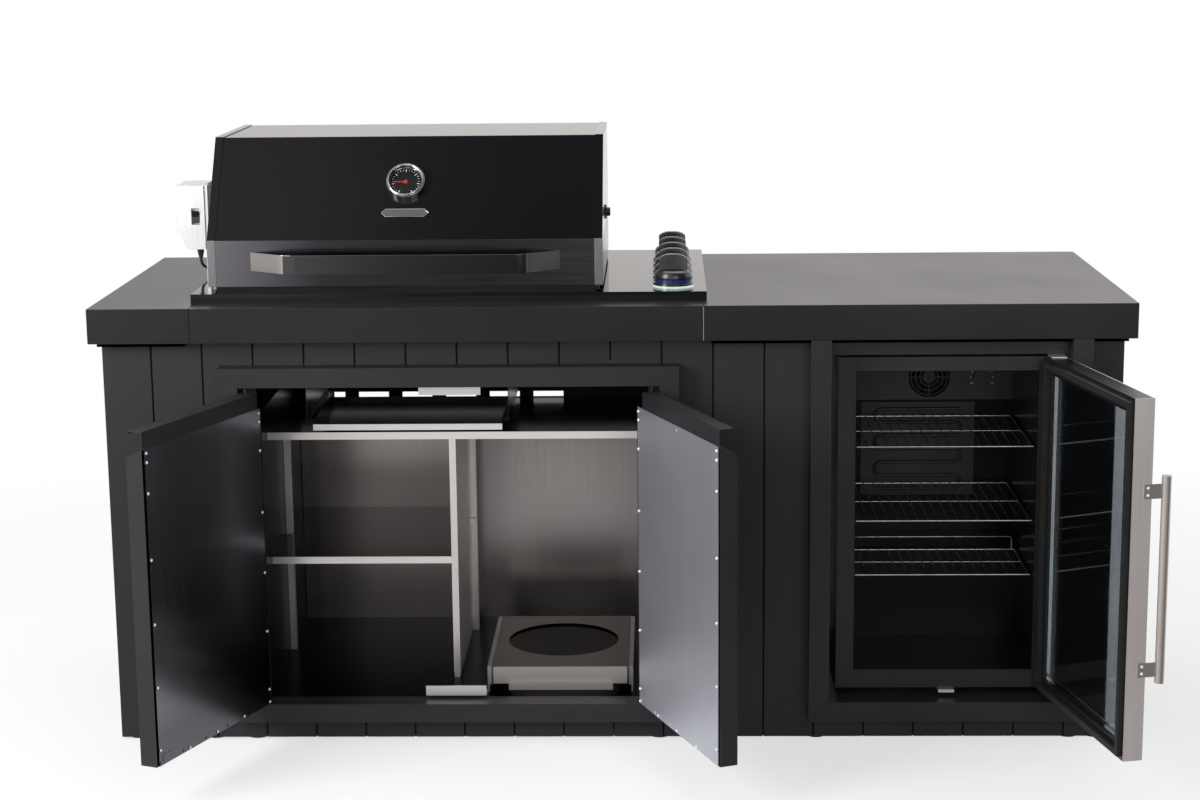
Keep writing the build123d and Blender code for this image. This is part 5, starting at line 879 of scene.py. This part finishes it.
soften(strap, 0.0008, 2)
wear(strap, pull_steel, "hood", "trim_steel", "hood_handle")
# the bends get the lighter copy, a painted reflection of the pale wall at the left
strap.data.materials.append(pull_bends_painted_reflection.material)
bend_reach = (grip_right_x - grip_left_x) / 2 + 0.002
for face in strap.data.polygons:
    face.material_index = 1 if abs(face.center.x - grip_middle_x) > bend_reach else 0

# %% [markdown]
# ## Gauge
# The gauge has a second raised bezel on its case, and a black dial with white marks under
# the needle. The gauge and the plate below it lie on the hood's slope, so their axes lean
# with it. The slope runs from the top of the band to the brow.

# %% Axes on the slope
front_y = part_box("worktop_rails")[0][1]
band_setback, band_top_z = 0.105, 1.054
brow_setback, brow_z = 0.250, 1.253
slope_up = Vector((0, brow_setback - band_setback, brow_z - band_top_z)).normalized()
slope_out = Vector((0, -slope_up.z, slope_up.y))


def on_slope(x, setback, lift):
    """A matrix whose Z axis stands out of the hood's slope."""
    share = (setback - band_setback) / (brow_setback - band_setback)
    foot = Vector((x, front_y + setback, band_top_z + share * (brow_z - band_top_z)))
    axes = axes_of(Vector((1, 0, 0)), slope_up, slope_out)
    return Matrix.Translation(foot + slope_out * lift) @ axes


# %% Gauge bezel
gauge_x, gauge_setback = -0.423, 0.183
rim_lift, dial_lift, mark_lift = 0.0145, 0.00635, 0.00656
bezel_line = [
    (0.0345, 0.0), (0.0345, 0.0020), (0.0352, 0.0030), (0.0362, 0.0030),
    (0.0370, 0.0012), (0.0372, 0.0), (0.0345, 0.0),
]
bezel_ring = turned("gauge_bezel", bezel_line, 72)
settle(bezel_ring, on_slope(gauge_x, gauge_setback, rim_lift))
soften(bezel_ring, 0.0004, 2)
wear(bezel_ring, chrome, "hood", "gauge_chrome")

# %% Gauge dial
dial_line = [(0.0032, 0.0), (0.0032, 0.0002), (0.0330, 0.0002), (0.0337, 0.0), (0.0032, 0.0)]
dial_face = turned("gauge_dial", dial_line, 72)
settle(dial_face, on_slope(gauge_x, gauge_setback, dial_lift))
dial_black = Finish("dial_black", Specular_IOR_Level=0.15)
grit = dial_black.grain((200, 200, 200))
dial_tone = dial_black.between(grit, (0.006, 0.006, 0.007), (0.012, 0.012, 0.013))
dial_black.feed("Base Color", dial_tone)
dial_black.feed("Roughness", 0.5 + 0.1 * grit)
wear(dial_face, dial_black, "hood", "gauge_chrome")

# %% Gauge marks
mark_white = Finish("mark_white", Specular_IOR_Level=0.3)
ink = mark_white.grain((500, 500, 500))
mark_white.feed("Base Color", mark_white.between(ink, (0.62, 0.62, 0.62), (0.80, 0.80, 0.80)))
mark_white.feed("Roughness", 0.4 + 0.1 * ink)
first_mark, mark_step, mark_end = -150, 12.5, 0.0295
marks = []
for k in range(25):
    half_width, mark_start = (0.0006, 0.0235) if k % 4 == 0 else (0.0003, 0.0262)
    mark = slab("mark", (-half_width, mark_start, 0), (half_width, mark_end, 0.0003))
    spin = Matrix.Rotation(-radians(first_mark + mark_step * k), 4, "Z")
    settle(mark, on_slope(gauge_x, gauge_setback, mark_lift) @ spin)
    marks.append(mark)
wear(joined(marks, "gauge_marks"), mark_white, "hood", "gauge_chrome")

# %% [markdown]
# ## A bare plate below the gauge
# The plate is a thin grey casting with pointed ends and a low rim, left without words.

# %% Bare plate
plate_setback, half_length, half_height, plate_depth = 0.1415, 0.040, 0.0095, 0.0022
point_reach, point_share, rim_width, rim_depth = 0.009, 0.08, 0.0012, 0.0008
plate = slab(
    "hood_plate", (-half_length, -half_height, 0), (half_length, half_height, plate_depth)
)
for side in (-1, 1):
    choose(plate, "faces", lambda middle, normal: normal.x * side > 0.9)
    extrude((point_reach * side, 0, 0))
    bpy.ops.transform.resize(value=(1, point_share, 1))
choose(plate, "faces", lambda middle, normal: normal.z > 0.9)
bpy.ops.mesh.inset(thickness=rim_width, depth=0)
bpy.ops.transform.translate(value=(0, 0, -rim_depth))
bpy.ops.object.mode_set(mode="OBJECT")
settle(plate, on_slope(gauge_x, plate_setback, 0.0003))
soften(plate, 0.0003, 2)
plate_grey = brushed("plate_grey", (0.16, 0.16, 0.17), (0.34, 0.34, 0.35), "X", 0.34)
wear(plate, plate_grey, "hood", "gauge_chrome")

# %% [markdown]
# ## Knobs
# A knob is a round skirt with a grip across it. The skirt is spun from one line. The grip
# is a block, divided and arched by lowering its ends, wider at its foot than on top, and a
# wide bevel makes it pleasant to hold. Five knobs stand in a row across the deck.

# %% Sizes of a knob
knob_numbers = range(1, 6)
knob_x, front_knob_place, knob_pitch = 0.129, -0.2025, 0.092
skirt_line = [
    (0.0, 0.9656), (0.0372, 0.9656), (0.0382, 0.9670), (0.0378, 0.9735), (0.0352, 0.9790),
    (0.0300, 0.9826), (0.0180, 0.9845), (0.0, 0.9850), (0.0, 0.9656),
]
grip_reach, grip_half, grip_foot_z, grip_rise = 0.0292, 0.0078, 0.978, 0.037
grip_arch, foot_spread, end_taper = 0.0085, 0.25, 0.12


def knob_place(index, z):
    return Matrix.Translation((knob_x, front_knob_place + knob_pitch * (index - 1), z))


# %% Skirt and grip
def burner_knob(index):
    skirt = turned(f"knob_body_{index}", skirt_line, 56)
    grip_top_z = grip_foot_z + grip_rise
    grip = slab("grip", (-grip_reach, -grip_half, grip_foot_z), (grip_reach, grip_half, grip_top_z))
    choose(grip, "faces", lambda middle, normal: True)
    bpy.ops.mesh.subdivide(number_cuts=7)
    bpy.ops.object.mode_set(mode="OBJECT")
    for corner in grip.data.vertices:
        up = (corner.co.z - grip_foot_z) / grip_rise
        out = abs(corner.co.x) / grip_reach
        corner.co.z -= grip_arch * up * out**3
        corner.co.y *= 1 + foot_spread * (1 - up) - end_taper * out**2
    soften(grip, 0.0022, 3)
    soften(skirt, 0.0006, 2)
    knob = joined([skirt, grip], f"knob_body_{index}")
    settle(knob, knob_place(index, 0))
    wear(knob, knob_black, f"burner_knob_{index}", "knob_black", f"knob_{index}")


for index in knob_numbers:
    burner_knob(index)

# %% [markdown]
# ## Pointer lines on the knobs
# A white line on each grip shows where the knob points. It is a thin bar that is sunk
# into the top of the grip, because paint there would need an image.

# %% Pointer lines
line_foot_z = 1.0146
for index in knob_numbers:
    line = slab(f"knob_line_{index}", (-0.0135, -0.0009, 0), (-0.001, 0.0009, 0.0006))
    soften(line, 0.0002, 1)
    settle(line, knob_place(index, line_foot_z))
    wear(line, mark_white, f"burner_knob_{index}", "knob_black")

# %% [markdown]
# ## Soft edges on the folded sheets and boards
# Folded and painted metal has no sharp edge. A copy of a solid is merged, its flat
# faces are joined, and a narrow bevel rounds it, so that each edge catches a thin line
# of light. The solids that the eye rests on get it.


# %% Softened copies
bodies = frame["record"]["behaviour"]["bodies"]
body_of = {name: body for body, members in bodies.items() for name in members}
slot_of = {row["node"]: row["material_slot"] for row in frame["record"]["subparts"]}


def softened(name, finish, width, segments=2):
    piece = linked(name + "_soft", nodes[name].data.copy())
    pick(piece)
    bpy.ops.mesh.customdata_custom_splitnormals_clear()
    bpy.ops.object.mode_set(mode="EDIT")
    bpy.ops.mesh.select_all(action="SELECT")
    bpy.ops.mesh.remove_doubles(threshold=0.00001)
    bpy.ops.mesh.dissolve_limited(angle_limit=radians(0.5))
    bpy.ops.object.mode_set(mode="OBJECT")
    soften(piece, width, segments)
    wear(piece, finish, body_of[name], slot_of[name], name)


edge_round, rail_round = 0.0008, 0.0010
for name in ("cladding_front", "cladding_sides"):
    softened(name, board_paint, edge_round)
for name in ("door_surround", "fridge_surround"):
    softened(name, frame_paint, edge_round)
for name in ("left_door_skin", "right_door_skin"):
    softened(name, skin_paint, edge_round)
softened("worktop_rails", top_paint, rail_round)
softened("bbq_deck", deck_enamel, edge_round)
softened("motor_housing", motor, edge_round)

# %% [markdown]
# ## Hood end strips
# A folded strip covers each end of the hood's sheet. It follows the front from the deck
# up over the brow. One edge is extruded along that line, and Solidify gives the sheet.
# The strips go on before the hood's own sheets get their soft edges.

# %% End strips
strip_line = [
    (-0.24815, 0.9585), (-0.24815, 1.0540), (-0.10315, 1.2536),
    (-0.0900, 1.25365), (0.2520, 1.25065),
]
first_rise, strip_sheet = 0.02, 0.0009
strip_spans = {"left": (-0.8284, -0.8116), "right": (-0.0321, -0.0153)}


def end_strip(name, low_x, high_x):
    foot_y, foot_z = strip_line[0]
    bpy.ops.mesh.primitive_plane_add(size=1)
    strip = bpy.context.object
    strip.name = name
    strip.scale = (high_x - low_x, first_rise, 1)
    strip.rotation_euler = (pi / 2, 0, 0)
    strip.location = ((low_x + high_x) / 2, foot_y, foot_z + first_rise / 2)
    settle(strip)
    choose(strip, "edges", lambda middle, run: abs(run.x) > 0.01 and middle.z > foot_z + 0.015)
    here = (foot_y, foot_z + first_rise)
    for spot in strip_line[1:]:
        extrude((0, spot[0] - here[0], spot[1] - here[1]))
        here = spot
    thicken(strip, strip_sheet, 1)
    soften(strip, 0.0003, 2)
    return strip


for side, span in strip_spans.items():
    wear(end_strip("hood_strip_" + side, *span), ends, "hood", "black_enamel")
panel_round, band_round = 0.0006, 0.0005
softened("hood_panel", hood_enamel, panel_round)
softened("hood_band", band_steel, band_round)

# %% [markdown]
# ## Spindle bush on the hood's right end
# Where the spit leaves the hood there is a black bush with a collar, spun as one line
# and turned to lie along X.

# %% Bush
bush_line = [
    (0.0045, 0.0), (0.0150, 0.0), (0.0155, 0.0015), (0.0150, 0.0030), (0.0095, 0.0035),
    (0.0090, 0.0100), (0.0080, 0.0110), (0.0045, 0.0110), (0.0045, 0.0),
]
bush_place = (-0.0149, -0.0025, 1.0800)
bush = turned("spindle_bush", bush_line, 36)
settle(bush, Matrix.Translation(bush_place) @ Matrix.Rotation(pi / 2, 4, "Y"))
soften(bush, 0.0003, 2)
wear(bush, plastic, "hood", "plastic_black")

# %% [markdown]
# ## Small screws
# A button screw is a low dome with a small recess in its middle. One is spun from its
# outline, every other one is a copy of its mesh, and the copies of a row are joined.

# %% One button screw
screw_bright = Finish("screw_bright", Metallic=0.25)
scuff = screw_bright.grain((900, 900, 900))
screw_bright.feed("Base Color", screw_bright.between(scuff, (0.80, 0.80, 0.82), (0.98, 0.98, 1.0)))
screw_bright.feed("Roughness", 0.40 + 0.2 * scuff)
screw_line = [
    (0.0, 0.0009), (0.0008, 0.0009), (0.0010, 0.0015), (0.0020, 0.0012), (0.0028, 0.0006),
    (0.0031, 0.0), (0.0, 0.0),
]
screw = turned("button_screw", screw_line, 16)
bpy.ops.object.shade_smooth_by_angle(angle=radians(35))


def screws_at(name, matrices, body, slot):
    copies = []
    for matrix in matrices:
        copy = linked(name, screw.data.copy())
        settle(copy, matrix)
        copies.append(copy)
    wear(joined(copies, name), screw_bright, body, slot)


# %% Screws of the door sheets
sheet_top_z, foot_row_z, sheet_back = 0.723, 0.099, 0.0311
pin_edge, free_edge, foot_row = 0.001, 0.40075, (0.101, 0.201, 0.301)
drops = (0.009, 0.027, 0.087, 0.217, 0.345, 0.471, 0.597, 0.624)
screw_heights = [sheet_top_z - drop for drop in drops]
places = [(pin_edge, z) for z in screw_heights] + [(free_edge, z) for z in screw_heights[:-1]]
places += [(x, foot_row_z) for x in foot_row]
open_sin, open_cos = 0.9272, 0.3746
door_pins = {"left": (-0.745, 1), "right": (0.0845, -1)}
for side, (pin_x, sign) in door_pins.items():
    pin = Vector((pin_x, -0.3395, 0))
    run = Vector((-open_cos * sign, -open_sin, 0))
    inward = Vector((open_sin * sign, -open_cos, 0))
    across = Vector((0, 0, 1)).cross(inward)
    axes = axes_of(across, inward.cross(across), inward)
    spots = [pin + run * x + inward * sheet_back + Vector((0, 0, z)) for x, z in places]
    matrices = [Matrix.Translation(spot) @ axes for spot in spots]
    screws_at(f"{side}_door_screws", matrices, f"{side}_door", "zinc")

# %% Screws of the fridge handle
tab_end, tab_out, tab_heights, screw_step = 0.43985, 0.013, (0.2915, 0.638), 0.007
edge_axes = axes_of(fridge_in, Vector((0, 0, 1)), fridge_run)
tab_face = fridge_pin + fridge_run * tab_end - fridge_in * tab_out
tab_matrices = []
for tab_z in tab_heights:
    for screw_z in (tab_z - screw_step, tab_z + screw_step):
        tab_matrices.append(Matrix.Translation(tab_face + Vector((0, 0, screw_z))) @ edge_axes)
screws_at("handle_screws", tab_matrices, "fridge_door", "trim_steel")
bpy.data.objects.remove(screw)

# %% [markdown]
# ## Marks round the thermostat
# A fan of short white lines shows how cold the dial is set. Each line is a tiny raised
# bar, turned about the dial's centre.

# %% Thermostat marks
dial_centre = Matrix.Translation((0.805, 0.0492, 0.704))
first_angle, angle_step = -120, 30
dial_lines = []
for k in range(9):
    line_end = 0.0265 if k % 4 else 0.0285
    line = slab("dial_line", (-0.0006, -0.0003, 0.0225), (0.0006, 0, line_end))
    settle(line, dial_centre @ Matrix.Rotation(radians(first_angle + angle_step * k), 4, "Y"))
    dial_lines.append(line)
wear(joined(dial_lines, "thermostat_marks"), mark_white, "body", "plastic_black")

# %% [markdown]
# ## Upstand of the low shelf
# The low wire shelf has a rail at its back that keeps bottles from the cold wall. It is
# one bent wire: a curve with a round section, made a mesh.

# %% Rear upstand
wire_radius, wire_bend = 0.002, 0.004
left_x, right_x, back_y, foot_z, bar_z = 0.515, 0.861, -0.0640, 0.3465, 0.3740
upstand_curve = bpy.data.curves.new("low_shelf_upstand", "CURVE")
upstand_curve.dimensions = "3D"
upstand_curve.bevel_depth = wire_radius
upstand_curve.use_fill_caps = True
bent = upstand_curve.splines.new("POLY")
corners = [
    (left_x, foot_z), (left_x, bar_z - wire_bend), (left_x + wire_bend, bar_z),
    (right_x - wire_bend, bar_z), (right_x, bar_z - wire_bend), (right_x, foot_z),
]
bent.points.add(len(corners) - 1)
for point, (x, z) in zip(bent.points, corners):
    point.co = (x, back_y, z, 1)
pick(linked("low_shelf_upstand", upstand_curve))
bpy.ops.object.convert(target="MESH")
upstand = bpy.context.object
bpy.ops.object.shade_smooth_by_angle(angle=radians(35))
wear(upstand, wire, "wire_shelf_low", "wire_chrome")

# %% [markdown]
# ## Last of all

# %% A last import
import json
